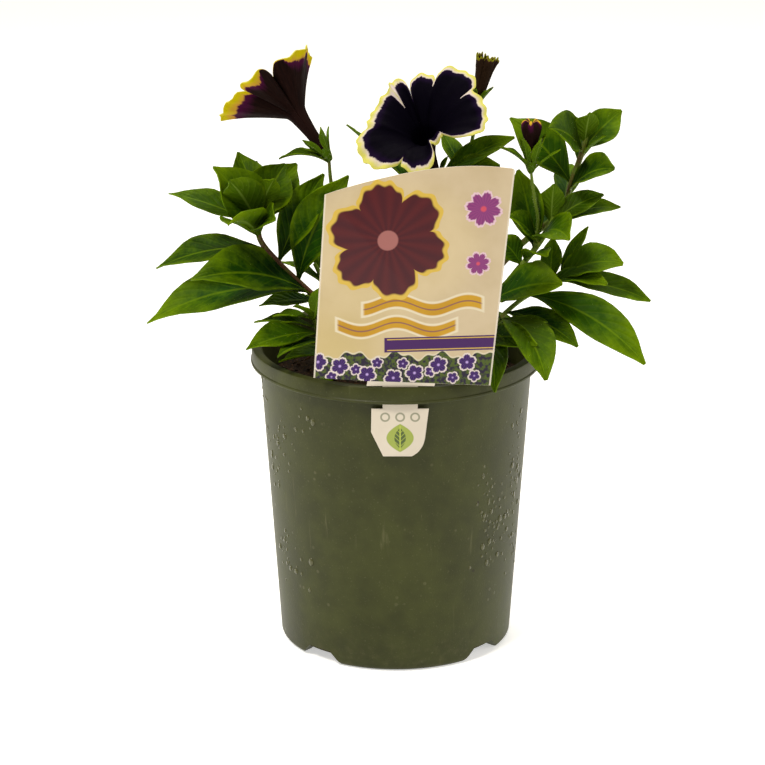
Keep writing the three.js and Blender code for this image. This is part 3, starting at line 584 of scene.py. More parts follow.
def print_finish():
    """The tag's printed face: a cream ground, one large blossom, two small, a strip of violets and plain bands."""
    card = Finish("card_print", **{"Specular IOR Level": 0.25})
    x, _, z = card.axes()
    u = x - (z - 200) * 0.05
    cloud = card.noise(19, 4)
    card.base(cloud.step(0.3, 0.7), (180, 162, 130), (190, 173, 143))
    card.over(z.step(222, 160) * x.step(20, -30) * 0.6, (184, 164, 98))
    glow = (((u + 2) / 38) ** 2 + ((z - 216) / 30) ** 2).step(1.5, 0.5)
    card.over(glow * 0.3, (202, 184, 136))

    def blossom(place, size, petals, turn, dip, rim, heart, tint, centre):
        """A flat flower with round petals, a rim of one colour, a heart of another and a paler centre."""
        dx, dz = u - place[0], z - place[1]
        span = (dx ** 2 + dz ** 2) ** 0.5
        angle = dz.maths("ARCTAN2", dx)
        petal = abs(((angle + turn) * (petals / 2)).cos())
        ripple = (angle * 4 * petals + 1.3 * (angle * 3).cos()).cos() * 0.022
        edge = (petal ** 0.6 * dip + (1 - dip) + ripple) * size
        inside = edge - span
        card.over(inside.step(-0.15, 0.2), rim)
        ray_tint = card.blend(((angle * petals * 3).cos() * 0.5 + 0.5) * 0.5, heart, tint)
        card.over((inside - size ** 0.5 * 0.36).step(-0.3, size * 0.03 + 0.2), ray_tint)
        card.over((size * 0.17 - span).step(-0.2, 0.6), centre)

    # Curling gold bands where a name would stand.
    for level, low, high, tall in ((188, -16, 40, 3.2), (177.5, -28, 28, 3.0)):
        wave = z - level - (x * 0.19).cos() * 2.2
        band = abs(wave).step(tall, tall - 0.7) * x.step(low, low + 1.5) * x.step(high, high - 1.5)
        outline = abs(wave).step(tall + 1, tall + 0.5) * x.step(low - 1, low) * x.step(high + 1, high)
        card.over(outline, (206, 196, 170))
        card.over(band, card.blend(cloud, (160, 114, 12), (194, 152, 34)))
        card.over(abs(wave).step(0.5, 0.2) * band * 0.7, (94, 52, 84))
    blossom((-5, 219), 29, 6, 0.3, 0.27, (196, 166, 70), (78, 26, 30), (50, 18, 28), (150, 96, 92))
    for place, size, turn in (((38, 234), 9, 0.2), ((37, 208), 6, 0.5)):
        blossom(place, size, 8, turn, 0.3, (206, 176, 188), (132, 56, 112), (98, 40, 100), (190, 70, 90))
    # A strip of small violet flowers among leaves along the foot, under one plain band.
    hedge = z - 163.5 - (x * 0.31).cos() * 1.6 - (x * 0.83 + 1).cos() * 0.9
    card.over(hedge.step(0.9, 0.5), (196, 186, 160))
    mixed = card.blend(card.noise(1.6, 3).step(0.4, 0.6), (24, 12, 40), (64, 80, 14))
    card.over(hedge.step(0.1, -0.3), mixed)
    for n in range(14):
        place = (-34.5 + n * 5.7 + 1.2 * math.sin(2.3 * n), 156.6 + 3.9 * math.cos(2.6 * n))
        blossom(place, 3.9 + 0.8 * math.cos(3.1 * n), 5, 0.7 * n, 0.3, (206, 194, 190), (30, 8, 62), (86, 34, 136),
                (176, 150, 210))
    off_band = abs(z - 168.8 - x * 0.03)
    card.over(off_band.step(3.7, 3.4) * x.step(-6, -5.4), (58, 14, 82))
    card.over(abs(off_band - 2.6).step(0.35, 0.15) * x.step(-4.6, -4.2) * 0.9, (196, 166, 70))
    # The sheet's white cut edge shows as a thin border.
    left_edge = x - LABEL_FOOT_LEFT[0] - (z - LABEL_FOOT_LEFT[1]) * LEFT_EDGE_LEAN
    right_edge = LABEL_FOOT_RIGHT[0] - x + (z - LABEL_FOOT_RIGHT[1]) * RIGHT_EDGE_LEAN
    border = left_edge.lowest(right_edge).step(0.9, 0.6)
    card.over(border * 0.8, (210, 202, 186))
    card_grain = card.noise(0.6, 2)
    return card.wear(0.3 + card_grain * 0.1 + cloud * 0.05, card.noise(16, 2) + card_grain * 0.06, 0.12)


# ---- modelling helpers

def let_go():
    for item in bpy.context.selected_objects:
        item.select_set(False)


def take(*pieces):
    """Selects these pieces alone; the last of them is the one that operators work on."""
    let_go()
    for piece in pieces:
        piece.select_set(True)
    bpy.context.view_layer.objects.active = pieces[-1]


def newest(name, *finishes):
    """Names the piece that is being worked on and gives it its finishes."""
    piece = bpy.context.active_object
    piece.name = piece.data.name = name
    for finish in finishes:
        piece.data.materials.append(finish)
    return piece


def primitive(operator, name, *finishes, **settings):
    """A new piece from one of Blender's own shapes."""
    let_go()
    operator(**settings)
    return newest(name, *finishes)


def set_out(name, data):
    """A new object in the scene that holds this mesh, curve, lamp or camera."""
    item = bpy.data.objects.new(name, data)
    bpy.context.scene.collection.objects.link(item)
    return item


def from_points(name, points, faces, *finishes):
    """A new piece from its points, in metres, and its faces."""
    mesh = bpy.data.meshes.new(name)
    mesh.from_pydata(points, [], faces)
    take(set_out(name, mesh))
    return newest(name, *finishes)


def from_curve(name, curve, *finishes):
    """A new piece from a curve, turned into a mesh."""
    take(set_out(name, curve))
    bpy.ops.object.convert(target="MESH")
    return newest(name, *finishes)


def modify(piece, kind, **settings):
    """Adds a modifier and applies it."""
    take(piece)
    made = piece.modifiers.new(kind.lower(), kind)
    for name, setting in settings.items():
        setattr(made, name, setting)
    bpy.ops.object.modifier_apply(modifier=made.name)


def weld(piece, distance):
    """Merges points that lie closer than this and turns the faces outwards."""
    take(piece)
    bpy.ops.object.mode_set(mode="EDIT")
    bpy.ops.mesh.select_all(action="SELECT")
    bpy.ops.mesh.remove_doubles(threshold=distance * MM)
    bpy.ops.mesh.normals_make_consistent(inside=False)
    bpy.ops.object.mode_set(mode="OBJECT")




def join(pieces, name):
    take(*pieces)
    if len(pieces) > 1:
        bpy.ops.object.join()
    return newest(name)


def places(piece):
    """The piece's points as an array, in millimetres."""
    co = np.empty(len(piece.data.vertices) * 3)
    piece.data.vertices.foreach_get("co", co)
    return co.reshape(-1, 3) / MM


def unit_places(pattern):
    """The points of a pattern that was made in whole units, in those units."""
    return places(pattern) * MM


def press(piece, points):
    """Moves the piece's points, given in millimetres, to where they belong."""
    piece.data.vertices.foreach_set("co", (np.asarray(points) * MM).ravel())
    piece.data.update()


def copy_of(pattern, points):
    """A copy of a pattern, with its points pressed to where they belong."""
    made = pattern.copy()
    made.data = pattern.data.copy()
    bpy.context.scene.collection.objects.link(made)
    press(made, points)
    return made


def give_tone(piece, first, second):
    """Stores the two values that Finish.tone() reads, for the whole piece or for each of its points."""
    tone = piece.data.attributes.new("tone", "FLOAT_COLOR", "POINT")
    colour = np.ones((len(piece.data.vertices), 4), np.float32)
    colour[:, 0] = first
    colour[:, 1] = second
    tone.data.foreach_set("color", colour.ravel())


def spin_profile(name, profile, sides, finish):
    """A closed body from a line of (radius, height) that starts and ends on the axis, with the body at its left.

    Its faces are laid out here, because Blender's own spin can number them differently from run to run.
    """
    turns = [compass(360 * n / sides)[0] for n in range(sides)]
    (_, low), *rings, (_, high) = profile
    points = [UP * low, *(turn * radius + UP * z for radius, z in rings for turn in turns), UP * high]
    faces = []
    for n in range(sides):
        here, beside = 1 + n, 1 + (n + 1) % sides
        faces.append((0, beside, here))
        for _ in rings[1:]:
            faces.append((here, beside, beside + sides, here + sides))
            here, beside = here + sides, beside + sides
        faces.append((here, beside, len(points) - 1))
    return from_points(name, (np.array(points) * MM).tolist(), faces, finish)


def smooth(piece, degrees=40):
    take(piece)
    bpy.ops.object.shade_smooth_by_angle(angle=math.radians(degrees))


def give_body(sheet, thickness):
    """Gives a thin sheet its thickness, with its underside in the second finish."""
    modify(sheet, "SOLIDIFY", thickness=thickness * MM, offset=0, material_offset=1, use_rim=True)
    smooth(sheet, 60)
    return sheet


def dress(piece, slot, *nodes):
    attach(piece, "root")
    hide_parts(*nodes)


def compass(degrees):
    """The directions outwards and sideways, anticlockwise from above, at an azimuth."""
    angle = math.radians(degrees)
    return np.array([math.cos(angle), math.sin(angle), 0]), np.array([-math.sin(angle), math.cos(angle), 0])


def swing(points, facing, spot):
    """Turns points made along +Z to a direction and sets them on a spot."""
    turn = Vector(UP).rotation_difference(Vector(facing).normalized())
    return np.asarray(points) @ np.array(turn.to_matrix()).T + np.asarray(spot)


def curve_point(path, share):
    """A point of the smooth curve through a path, as the solids use it."""
    points = [np.array(p, float) for p in path]
    points = [2 * points[0] - points[1], *points, 2 * points[-1] - points[-2]]
    spot = min(max(share, 0), 1) * (len(path) - 1)
    n = min(int(spot), len(path) - 2)
    t = spot - n
    a, b, c, d = points[n:n + 4]
    start, end = (c - a) / 2, (d - b) / 2
    return b + start * t + (-3 * b + 3 * c - 2 * start - end) * t ** 2 + (2 * b - 2 * c + start + end) * t ** 3


def curve_value(values, share):
    """The same curve through plain numbers."""
    return curve_point([(value,) for value in values], share)[0]


# ---- leaves and stems

def leaf_breadth(s):
    return np.maximum(0.05, np.sin(np.pi * np.clip(s, 0, 1) ** 1.15) ** 1.1) / 2


def leaf_points(flat, base, row, phase):
    """Where a flat blade's points lie on a leaf that is folded along its midrib, arched and waved."""
    azimuth, elevation, length, width, droop, *rest = row[1:]
    roll = math.radians(rest[0]) if rest else 0.0
    across, s = -2 * flat[:, 0], flat[:, 1] + 0.5
    start, arch = math.radians(elevation), math.radians(max(droop, 1))
    slope = start - arch * s
    reach = length / arch * (math.sin(start) - np.sin(slope))
    rise = length / arch * (np.cos(slope) - math.cos(start))
    ahead, sideways = compass(azimuth)
    along = np.cos(slope)[:, None] * ahead + np.sin(slope)[:, None] * UP
    level = np.broadcast_to(sideways, along.shape)
    side = level * math.cos(roll) + np.cross(along, level) * math.sin(roll)
    face = np.cross(along, side)
    midrib = np.asarray(base) + reach[:, None] * ahead + rise[:, None] * UP
    half = width * leaf_breadth(s)
    tilt = math.radians(LEAF_FOLD)
    lift = half * math.sin(tilt) * np.abs(across) ** 1.35
    lift = lift + LEAF_WAVE * width * np.sin(9 * s) * s * across * np.abs(across)
    lift = lift + LEAF_RIPPLE * width * np.sin(21 * s + phase) * np.abs(across) ** 3
    return midrib + side * (across * half * math.cos(tilt))[:, None] + face * lift[:, None]


def leaf(base, row, draw, youth):
    """One leaf, copied from the flat blade and bent as its row says."""
    flat = unit_places(leaf_pattern)
    blade = copy_of(leaf_pattern, leaf_points(flat, base, row, draw.uniform(0, ANY_PHASE)))
    give_tone(blade, draw.random(), youth)
    return blade


def stem_tube(path, radius, brown, draw):
    """A round stem along a path, slimmer towards its tip."""
    count = 10 * len(path)
    line = bpy.data.curves.new("stem", "CURVE")
    line.dimensions = "3D"
    line.bevel_depth = radius * MM
    line.bevel_resolution = 2
    line.use_fill_caps = True
    spline = line.splines.new("POLY")
    spline.points.add(count)
    for n, point in enumerate(spline.points):
        share = n / count
        point.co = (*(curve_point(path, share) * MM), 1)
        point.radius = 1.02 - 0.3 * share + 0.05 * math.sin(17 * share)
    tube = from_curve("stem", line, stem_skin)
    foot = np.clip((places(tube)[:, 2] - SOIL_LEVEL) / 60, 0, 1)
    give_tone(tube, np.clip(brown + 0.25 - 0.35 * foot + draw.uniform(-0.08, 0.08), 0, 1), foot)
    smooth(tube)
    return tube


def calyx(end, cup, draw):
    """The green cup at a flower's foot and its five narrow sepals."""
    profile = [(0, -2), (0.9, -1.8), (1.7, -0.6), (2.5, 1.6), (CALYX_RADIUS, CALYX_LENGTH - 1),
               (CALYX_RADIUS - 0.5, CALYX_LENGTH), (1.6, CALYX_LENGTH - 0.6), (0, CALYX_LENGTH - 0.8)]
    body = spin_profile("calyx_cup", profile, 20, leaf_top)
    press(body, swing(places(body), cup["facing"], end))
    map_layer = body.data.uv_layers.new(name="UVMap")
    map_layer.data.foreach_set("uv", np.tile([0.35, 0.5], len(map_layer.data)))
    give_tone(body, 0.45, 0.35)
    smooth(body)
    sepals = []
    for n in range(SEPAL_COUNT):
        azimuth = 360 * n / SEPAL_COUNT + 20
        row = [0, azimuth, 90 - cup["spread"], cup["sepal"], cup["sepal"] * 0.3, 12]
        foot = 1.6 * compass(azimuth)[0] + 0.8 * UP
        blade = leaf((0, 0, 0), row, draw, 0.3)
        press(blade, swing(places(blade) + foot, cup["facing"], end))
        sepals.append(blade)
    return body, sepals


def spiral_rows(spiral, points):
    """Rows for a shoot whose leaves follow the usual spiral, the largest and flattest at its foot."""
    state = spiral["seed"]
    rows = []

    def draw():
        """The solids' own random numbers, -1 to 1."""
        nonlocal state
        state = state * 16807 % 2147483647
        return 2 * state / 2147483647 - 1

    for n in range(spiral["count"]):
        rise = n / (spiral["count"] - 1)
        length = spiral["longest"] * (1 - 0.55 * rise) * (1 + 0.1 * draw())
        azimuth = spiral["azimuth"] + GOLDEN_ANGLE * n + 12 * draw()
        rows.append([1.8 + (points - 2.8) * rise, azimuth, 26 + 40 * rise + 5 * draw(), length, length * 0.4,
                     45 - 25 * rise])
    return rows


def hairs(piece, count, draw, length):
    """Fine hairs that stand on a piece's faces, joined into it by the caller."""
    faces = piece.data.polygons
    areas = np.array([face.area for face in faces])
    points, index = [], []
    for n in draw.choices(range(len(faces)), weights=areas, k=count):
        face = faces[n]
        corners = [piece.data.vertices[v].co for v in face.vertices]
        shares = [draw.random() for _ in corners]
        spot = sum((c * w for c, w in zip(corners, shares)), Vector()) / sum(shares)
        lean = Vector((draw.uniform(-0.4, 0.4), draw.uniform(-0.4, 0.4), draw.uniform(-0.1, 0.5)))
        way = (face.normal + lean).normalized()
        aside = way.orthogonal().normalized() * HAIR_RADIUS * MM
        other = way.cross(aside)
        tall = length * draw.uniform(0.6, 1.2) * MM
        at = len(points)
        root = spot - way * 0.1 * MM
        points += [root + aside, root - aside * 0.5 + other * 0.87, root - aside * 0.5 - other * 0.87,
                   root + way * tall]
        index += [(at, at + 2, at + 1), (at, at + 1, at + 3), (at + 1, at + 2, at + 3), (at + 2, at, at + 3)]
    down = from_points("down", points, index, hair_white)
    give_tone(down, 0.5, 0.5)
    return down


def shoot(name, branches, seed):
    """One leafy stem with its branches, as one piece."""
    draw = random.Random(seed)
    blades, sepals, stems = [], [], []
    for branch in branches:
        path = branch["path"]
        rows = branch.get("leaves") or spiral_rows(branch["spiral"], len(path))
        stems.append(stem_tube(path, branch["radius"], BROWN_STEMS.get(name, OTHER_STEMS), draw))
        for row in rows:
            share = row[0] / (len(path) - 1)
            youth = min(1, max(0, (share - 0.6) * 1.1) + max(0, (26 - row[3]) / 26) * 0.8)
            blades.append(leaf(curve_point(path, share), row, draw, youth))
        if "calyx" in branch:
            body, found = calyx(curve_point(path, 1), branch["calyx"], draw)
            stems.append(body)
            sepals += found
    green = [give_body(join(blades, "leaves"), LEAF_THICKNESS)]
    if sepals:
        green.append(give_body(join(sepals, "sepals"), SEPAL_THICKNESS))
    down = [hairs(piece, 260, draw, 0.8) for piece in stems]
    down += [hairs(piece, 200, draw, 0.7) for piece in green]
    dress(join(down + stems + green[::-1], name + "_leaves"), "leaf_green", name)


# ---- flowers

def trumpet(name, node, stem, lobes, rows, finishes, *, tube, throat, radii, rise, bow, curl, ruffle, pleat, ripple,
            margin, even):
    """A trumpet flower: a slim tube that opens into a lobed limb with a pale margin.

    The tube is as tall as tube and as wide as throat at its top, and radii are its widths further down. From there
    the limb rises, bowed upwards by bow and turned down at its rim by curl. Its lobes wave by ruffle, it is creased
    at the notches by pleat, and ripple is the fine wave of its edge. margin is the pale margin's width, and even the
    share of that width, or one for each notch, that is left at the notches.
    """
    foot = SHOOTS[stem][-1]
    count = len(lobes)
    flower = primitive(bpy.ops.mesh.primitive_grid_add, name, *finishes, x_subdivisions=PETAL_COLUMNS * count,
                       y_subdivisions=rows, size=1)
    flat = unit_places(flower)
    around, t = (flat[:, 0] + 0.5) * count, flat[:, 1] + 0.5
    which = np.minimum((around + 1e-6).astype(int), count - 1)
    share = np.clip(around - which, 0, 1)
    start, notch, reach, lift, fold = np.array([*lobes, (lobes[0][0] + 360, *lobes[0][1:])], float).T
    width = start[which + 1] - start[which]
    angle = np.radians(start[which] + width * share)
    lobe = np.sin(np.pi * share)
    edge = notch[which] + (notch[which + 1] - notch[which]) * share
    rim = edge + (reach[which] - edge) * lobe ** LOBE_FULLNESS
    heights = [1.2, CALYX_LENGTH + GAP, tube * 0.35, tube * 0.6, tube * 0.88, tube]
    along = np.clip(t / LIMB_START, 0, 1)
    height = np.array([curve_value(heights, v) for v in along])
    breadth = np.array([curve_value((*radii, throat), v) for v in along])
    out = np.clip((t - LIMB_START) / (1 - LIMB_START), 0, 1)
    breadth = breadth + (rim - throat) * out
    height = height + rise * out * (1 + bow - bow * out) - curl * out ** 4
    height = height + ruffle * np.minimum(1, width / 60) * out ** 2 * np.cos(2 * np.pi * share)
    height = height + lift[which] * out ** 1.5 * lobe
    crease = pleat * np.exp(-(lobe / CREASE_WIDTH) ** 2)
    height = height - crease * out
    breadth = breadth * (1 - CREASE_DEPTH * crease * np.clip(2 * along - 0.6, 0, 1))
    height = height + ripple * out ** 2.5 * np.sin(19 * angle + 1.1 * np.sin(3 * angle))
    breadth = breadth * (1 + 0.015 * out ** 2 * np.sin(31 * angle + np.sin(2 * angle)))
    # Where petals overlap, a pale fold stands up along the line that runs in from the notch.
    near = np.where(share < 0.5, which, which + 1)
    to_notch = breadth * np.minimum(share, 1 - share) * np.radians(width)
    wedge = FOLD_WIDTH * np.clip((breadth - fold[near]) / FOLD_TAPER, 0, 1)
    folded = np.where(wedge > 0, 1 - to_notch / np.maximum(wedge, 0.05), -3)
    height = height + FOLD_HEIGHT * np.clip(1.4 * folded, 0, 1) ** 0.7 * np.clip(wedge / 1.2, 0, 1)
    points = np.stack([breadth * np.cos(angle), breadth * np.sin(angle), height], 1)
    # How far each point is inside the pale margin.
    to_rim = (1 - out) * np.hypot(rim - throat, rise)
    even = np.resize(np.broadcast_to(even, count), count + 1)
    narrow = even[which] + (even[which + 1] - even[which]) * share
    wide = margin * (narrow + (1 - narrow) * lobe) * (1 + 0.2 * np.cos(angle - 3.2) + 0.12 * np.sin(7 * angle))
    pale = 1 - to_rim / np.maximum(wide, 0.4)
    give_tone(flower, np.clip(np.maximum(pale, folded) / 4 + 0.5, 0, 1), np.clip(2 * (folded - pale), 0, 1))
    press(flower, swing(points, foot["calyx"]["facing"], foot["path"][-1]))
    weld(flower, 0.005)
    dress(give_body(flower, COROLLA_THICKNESS), "dark_petal", node)


def furled_bud(foot):
    """The furled bud: a spindle with spiral pleats and pale petal tips."""
    profile = []
    for n in range(BUD_RINGS + 1):
        share = n / BUD_RINGS
        profile.append((max(0, curve_value(BUD_RADII, share)), curve_value(BUD_HEIGHTS, share)))
    profile[0], profile[-1] = (0, BUD_HEIGHTS[0]), (0, BUD_HEIGHTS[-1])
    bud = spin_profile("bud_petals", profile, BUD_SIDES, petal_back)
    points = places(bud)
    angle = np.arctan2(points[:, 1], points[:, 0])

    def ridge():
        """1 on the ridges between the spiral pleats and 0 in the pleats, for the points as they stand."""
        return np.abs(np.cos(SEPAL_COUNT / 2 * angle + 0.06 * points[:, 2]))

    tips = np.clip((points[:, 2] - 13) / 5, 0, 1)
    points[:, :2] *= (1 + BUD_PLEAT * ridge() - 0.05)[:, None]
    points[:, 2] += tips * 0.9 * np.cos(SEPAL_COUNT * angle + 0.12 * points[:, 2])
    press(bud, points + np.array([foot[0], foot[1], foot[2] + CALYX_LENGTH + GAP]))
    give_tone(bud, 0.2 + 0.4 * tips * np.clip((ridge() - 0.55) / 0.45, 0, 1), 0)
    layer = bud.data.uv_layers.new(name="UVMap")
    spots = np.stack([angle / (2 * np.pi) + 0.5, np.clip((points[:, 2] + 2) / 20.4, 0, 1)], 1)
    loops = np.empty(len(bud.data.loops), int)
    bud.data.loops.foreach_get("vertex_index", loops)
    layer.data.foreach_set("uv", spots[loops].ravel())
    smooth(bud, 60)
    dress(bud, "dark_petal", "bud")


# ---- pot, mix and tag

def wall_radius(z):
    return WALL_FOOT_RADIUS + (WALL_TOP_RADIUS - WALL_FOOT_RADIUS) * z / POT_HEIGHT


def pot():
    """The pot: one turned wall with a skirted rim, slotted for the tag and notched at its foot, wet with drops."""
    ledge = POT_HEIGHT - LEDGE_THICKNESS
    hem = POT_HEIGHT - SKIRT_HEIGHT
    floor = FLOOR_RECESS + FLOOR_THICKNESS
    outer, under = RIM_RADIUS, RIM_RADIUS - SKIRT_THICKNESS
    foot = wall_radius(1)

    def inner(z):
        return wall_radius(z) - WALL_THICKNESS

    profile = [
        (0, FLOOR_RECESS), (FOOT_RING_INNER - 1, FLOOR_RECESS), (FOOT_RING_INNER, 0),
        (wall_radius(0) - FOOT_ROUNDING, 0), (foot - FOOT_ROUNDING * 0.62, 0.3), (foot - FOOT_ROUNDING * 0.3, 0.8),
        (foot - FOOT_ROUNDING * 0.08, 1.5), (wall_radius(FOOT_ROUNDING), FOOT_ROUNDING), (wall_radius(30), 30),
        (wall_radius(75), 75), (wall_radius(120), 120), (wall_radius(ledge - 0.6), ledge - 0.6),
        (wall_radius(ledge) + 0.6, ledge), (under, ledge), (under, hem + 0.3), (under + 0.3, hem),
        (outer + BEAD - 0.3, hem), (outer + BEAD, hem + 0.3), (outer + BEAD, hem + 1.1), (outer, hem + 1.6),
        (outer, POT_HEIGHT - 1.2), (outer - 0.35, POT_HEIGHT - 0.4), (outer - 1.1, POT_HEIGHT),
        (wall_radius(POT_HEIGHT) - 0.3, POT_HEIGHT), (inner(POT_HEIGHT), POT_HEIGHT - 0.8), (inner(75), 75),
        (inner(floor), floor + 1), (inner(floor) - 1, floor), (0, floor),
    ]
    body = spin_profile("nursery_pot", profile, POT_SIDES, pot_plastic)
    slot_middle = (NECK_X * MM, TAG_PLANE_Y * MM, (ledge + LEDGE_THICKNESS / 2) * MM)
    slot_size = (SLOT_WIDTH * MM, SLOT_THICKNESS * MM, 3 * LEDGE_THICKNESS * MM)
    cutters = [primitive(bpy.ops.mesh.primitive_cube_add, "slot_cutter", size=1, location=slot_middle,
                         scale=slot_size)]
    depth = wall_radius(0) + 4 - NOTCH_INNER_RADIUS
    for degrees in NOTCH_ANGLES:
        block = primitive(bpy.ops.mesh.primitive_cube_add, "notch_cutter", size=1)
        points = unit_places(block)
        top = points[:, 2] > 0
        half = np.where(top, NOTCH_TOP_WIDTH / 2, NOTCH_FOOT_WIDTH / 2 + 1)
        turned = np.stack([NOTCH_INNER_RADIUS + depth * (points[:, 0] + 0.5), 2 * points[:, 1] * half,
                           np.where(top, NOTCH_HEIGHT, -1)], 1)
        press(block, turned @ np.array([*compass(degrees), UP]))
        cutters.append(block)
    for cutter in cutters:
        modify(body, "BOOLEAN", operation="DIFFERENCE", object=cutter, solver="EXACT")
        bpy.data.objects.remove(cutter)
    weld(body, 0.002)
    smooth(body, 32)
    dress(join([drops(), body], "nursery_pot"), "pot_plastic", "pot")


def drops():
    """Small drops that stand on the wall, most of them at the right and a few at the left edge."""
    draw = random.Random(DROP_SEED)
    ball = primitive(bpy.ops.mesh.primitive_ico_sphere_add, "drop", water_film, subdivisions=2, radius=1)
    x, y, z = np.split(unit_places(ball), 3, axis=1)
    clusters = [(draw.gauss(*RIGHT_DROPS) if n % 3 else draw.gauss(*LEFT_DROPS), draw.uniform(*DROP_HEIGHTS))
                for n in range(DROP_CLUSTERS)]
    made = []
    for n in range(DROP_COUNT):
        middle = clusters[n % len(clusters)]
        azimuth, level = draw.gauss(middle[0], DROP_SPREAD[0]), draw.gauss(middle[1], DROP_SPREAD[1])
        size = draw.uniform(0.4, 0.9) * (1.7 if draw.random() < 0.2 else 1)
        if not DROP_LIMITS[0] < level < DROP_LIMITS[1]:
            continue
        out, aside = compass(azimuth)
        sag = 1 + draw.uniform(0, 0.5)
        spot = out * wall_radius(level) + UP * level
        bulge = x * out * size * DROP_RELIEF + y * aside * size + z * UP * size * sag
        made.append(copy_of(ball, spot + bulge))
    bpy.data.objects.remove(ball)
    wet = join(made, "drops")
    bpy.ops.object.shade_smooth()
    return wet


def soil_top(x, y):
    return SOIL_LEVEL + SOIL_RELIEF * (np.sin(0.21 * x + 1.3) * np.cos(0.17 * y) + 0.5 * np.sin(0.47 * x - 0.33 * y))


def potting_mix():
    """The fill: a lumpy top with bits of bark, over a plain body inside the pot."""
    def fit(z):
        return wall_radius(z) - WALL_THICKNESS - 2 * GAP

    floor = FLOOR_RECESS + FLOOR_THICKNESS + GAP
    rings = [(fit(SOIL_LEVEL) * n / SOIL_RINGS, SOIL_LEVEL) for n in range(SOIL_RINGS, 0, -1)]
    profile = [(0, floor), (fit(floor), floor), (fit(SOIL_LEVEL), SOIL_LEVEL - 3), *rings, (0, SOIL_LEVEL)]
    fill = spin_profile("crumbly_mix", profile, SOIL_SIDES, mix_crumb)
    points = places(fill)
    x, y, z = points.T
    crumb = np.sin(1.9 * x + 2 * np.sin(0.9 * y)) * np.sin(1.7 * y + 2 * np.sin(1.1 * x))
    lump = np.sin(0.8 * x + 1.3 * np.sin(0.5 * y)) * np.sin(0.7 * y + 1.1 * np.sin(0.6 * x))
    points[:, 2] = np.where(z > SOIL_LEVEL - 1, soil_top(x, y) + 0.35 * crumb + 0.5 * lump - 0.3, z)
    press(fill, points)
    smooth(fill, 50)
    give_tone(fill, 0.5, 0.5)
    draw = random.Random(BARK_SEED)
    bit = primitive(bpy.ops.mesh.primitive_ico_sphere_add, "bit", bark_bits, subdivisions=1, radius=1)
    shape = unit_places(bit)
    made = []
    for _ in range(BARK_COUNT):
        reach, angle = BARK_REACH * math.sqrt(draw.random()), draw.uniform(0, 2 * math.pi)
        spot = (reach * math.cos(angle), reach * math.sin(angle))
        size = draw.uniform(0.5, 1.3) * (1.9 if draw.random() < 0.15 else 1)
        stretch = np.array([size * draw.uniform(0.8, 2.2), size * draw.uniform(0.6, 1.1),
                            size * draw.uniform(0.4, 0.8)])
        rough = shape * stretch * np.array([[draw.uniform(0.75, 1.2)] for _ in shape])
        tilt = (draw.uniform(-0.3, 0.3), draw.uniform(-0.3, 0.3), 1)
        turn = np.array(Quaternion(tilt, draw.uniform(0, ANY_PHASE)).to_matrix())
        chip = copy_of(bit, rough @ turn.T + np.array([*spot, soil_top(*spot) + 0.25 * size]))
        give_tone(chip, draw.random(), draw.random())
        made.append(chip)
    bpy.data.objects.remove(bit)
    dress(join([*made, fill], "crumbly_mix"), "potting_mix", "potting_mix")


def bend(start, middle, end, steps=10):
    """Points of a quadratic curve, without its first."""
    shares = [(n + 1) / steps for n in range(steps)]
    return [tuple((1 - t) ** 2 * a + 2 * t * (1 - t) * b + t * t * c for a, b, c in zip(start, middle, end))
            for t in shares]


def plant_tag():
    """The tag: a printed sheet with its stem, the neck in the pot's slot and the lock tab below it."""
    ledge = POT_HEIGHT + GAP
    hem = POT_HEIGHT - SKIRT_HEIGHT - TAB_BELOW_SKIRT
    foot_right = (NECK_X - 1.2 + TAB_FOOT_HALF, TAB_FOOT_Z)
    outline = [
        (NECK_X - 1.2 - TAB_FOOT_HALF, TAB_FOOT_Z), foot_right,
        *bend(foot_right, (NECK_X + TAB_HALF - 2, TAB_FOOT_Z + 3), (NECK_X + TAB_HALF - 1.5, TAB_FOOT_Z + 11)),
        (NECK_X + TAB_HALF, hem), (NECK_X + NECK_HALF, hem), (NECK_X + NECK_HALF, ledge),
        (NECK_X + 0.5 + STEM_HALF, ledge), (NECK_X + 0.8 + STEM_HALF, LABEL_FOOT_Z - 0.2),
        LABEL_FOOT_RIGHT, LABEL_TOP_RIGHT, *bend(LABEL_TOP_RIGHT, (53.7, 252.8), (52.5, 253)),
        *bend((52.5, 253), (28, 256.5), (-2, 249.5), 16), *bend((-2, 249.5), (-20, 245.5), (-33, 240.6), 16),
        LABEL_FOOT_LEFT, (NECK_X + 0.2 - STEM_HALF, LABEL_FOOT_Z + 0.9), (NECK_X - 0.3 - STEM_HALF, ledge),
        (NECK_X - NECK_HALF, ledge), (NECK_X - NECK_HALF, hem), (NECK_X - TAB_HALF, hem),
        (NECK_X - TAB_HALF - 0.2, TAB_FOOT_Z + 12),
    ]
    sheet = bpy.data.curves.new("tag", "CURVE")
    sheet.dimensions = "2D"
    sheet.fill_mode = "BOTH"
    sheet.extrude = (TAG_THICKNESS / 2 - TAG_ROUNDING) * MM
    sheet.bevel_depth = TAG_ROUNDING * MM
    sheet.bevel_resolution = 1
    sheet.offset = -TAG_ROUNDING * MM
    spline = sheet.splines.new("POLY")
    spline.points.add(len(outline) - 1)
    for point, (x, z) in zip(spline.points, outline):
        point.co = (x * MM, z * MM, 0, 1)
    spline.use_cyclic_u = True
    card = from_curve("printed_plant_tag", sheet, card_white, card_print)
    flat = places(card)
    press(card, np.stack([flat[:, 0], TAG_PLANE_Y - flat[:, 2], flat[:, 1]], 1))
    weld(card, 0.001)
    for face in card.data.polygons:
        printed = face.normal.y < -0.9 and face.center.z > LABEL_FOOT_Z * MM
        face.material_index = 1 if printed else 0
    smooth(card, 30)
    dress(card, "printed_tag", "plant_tag")
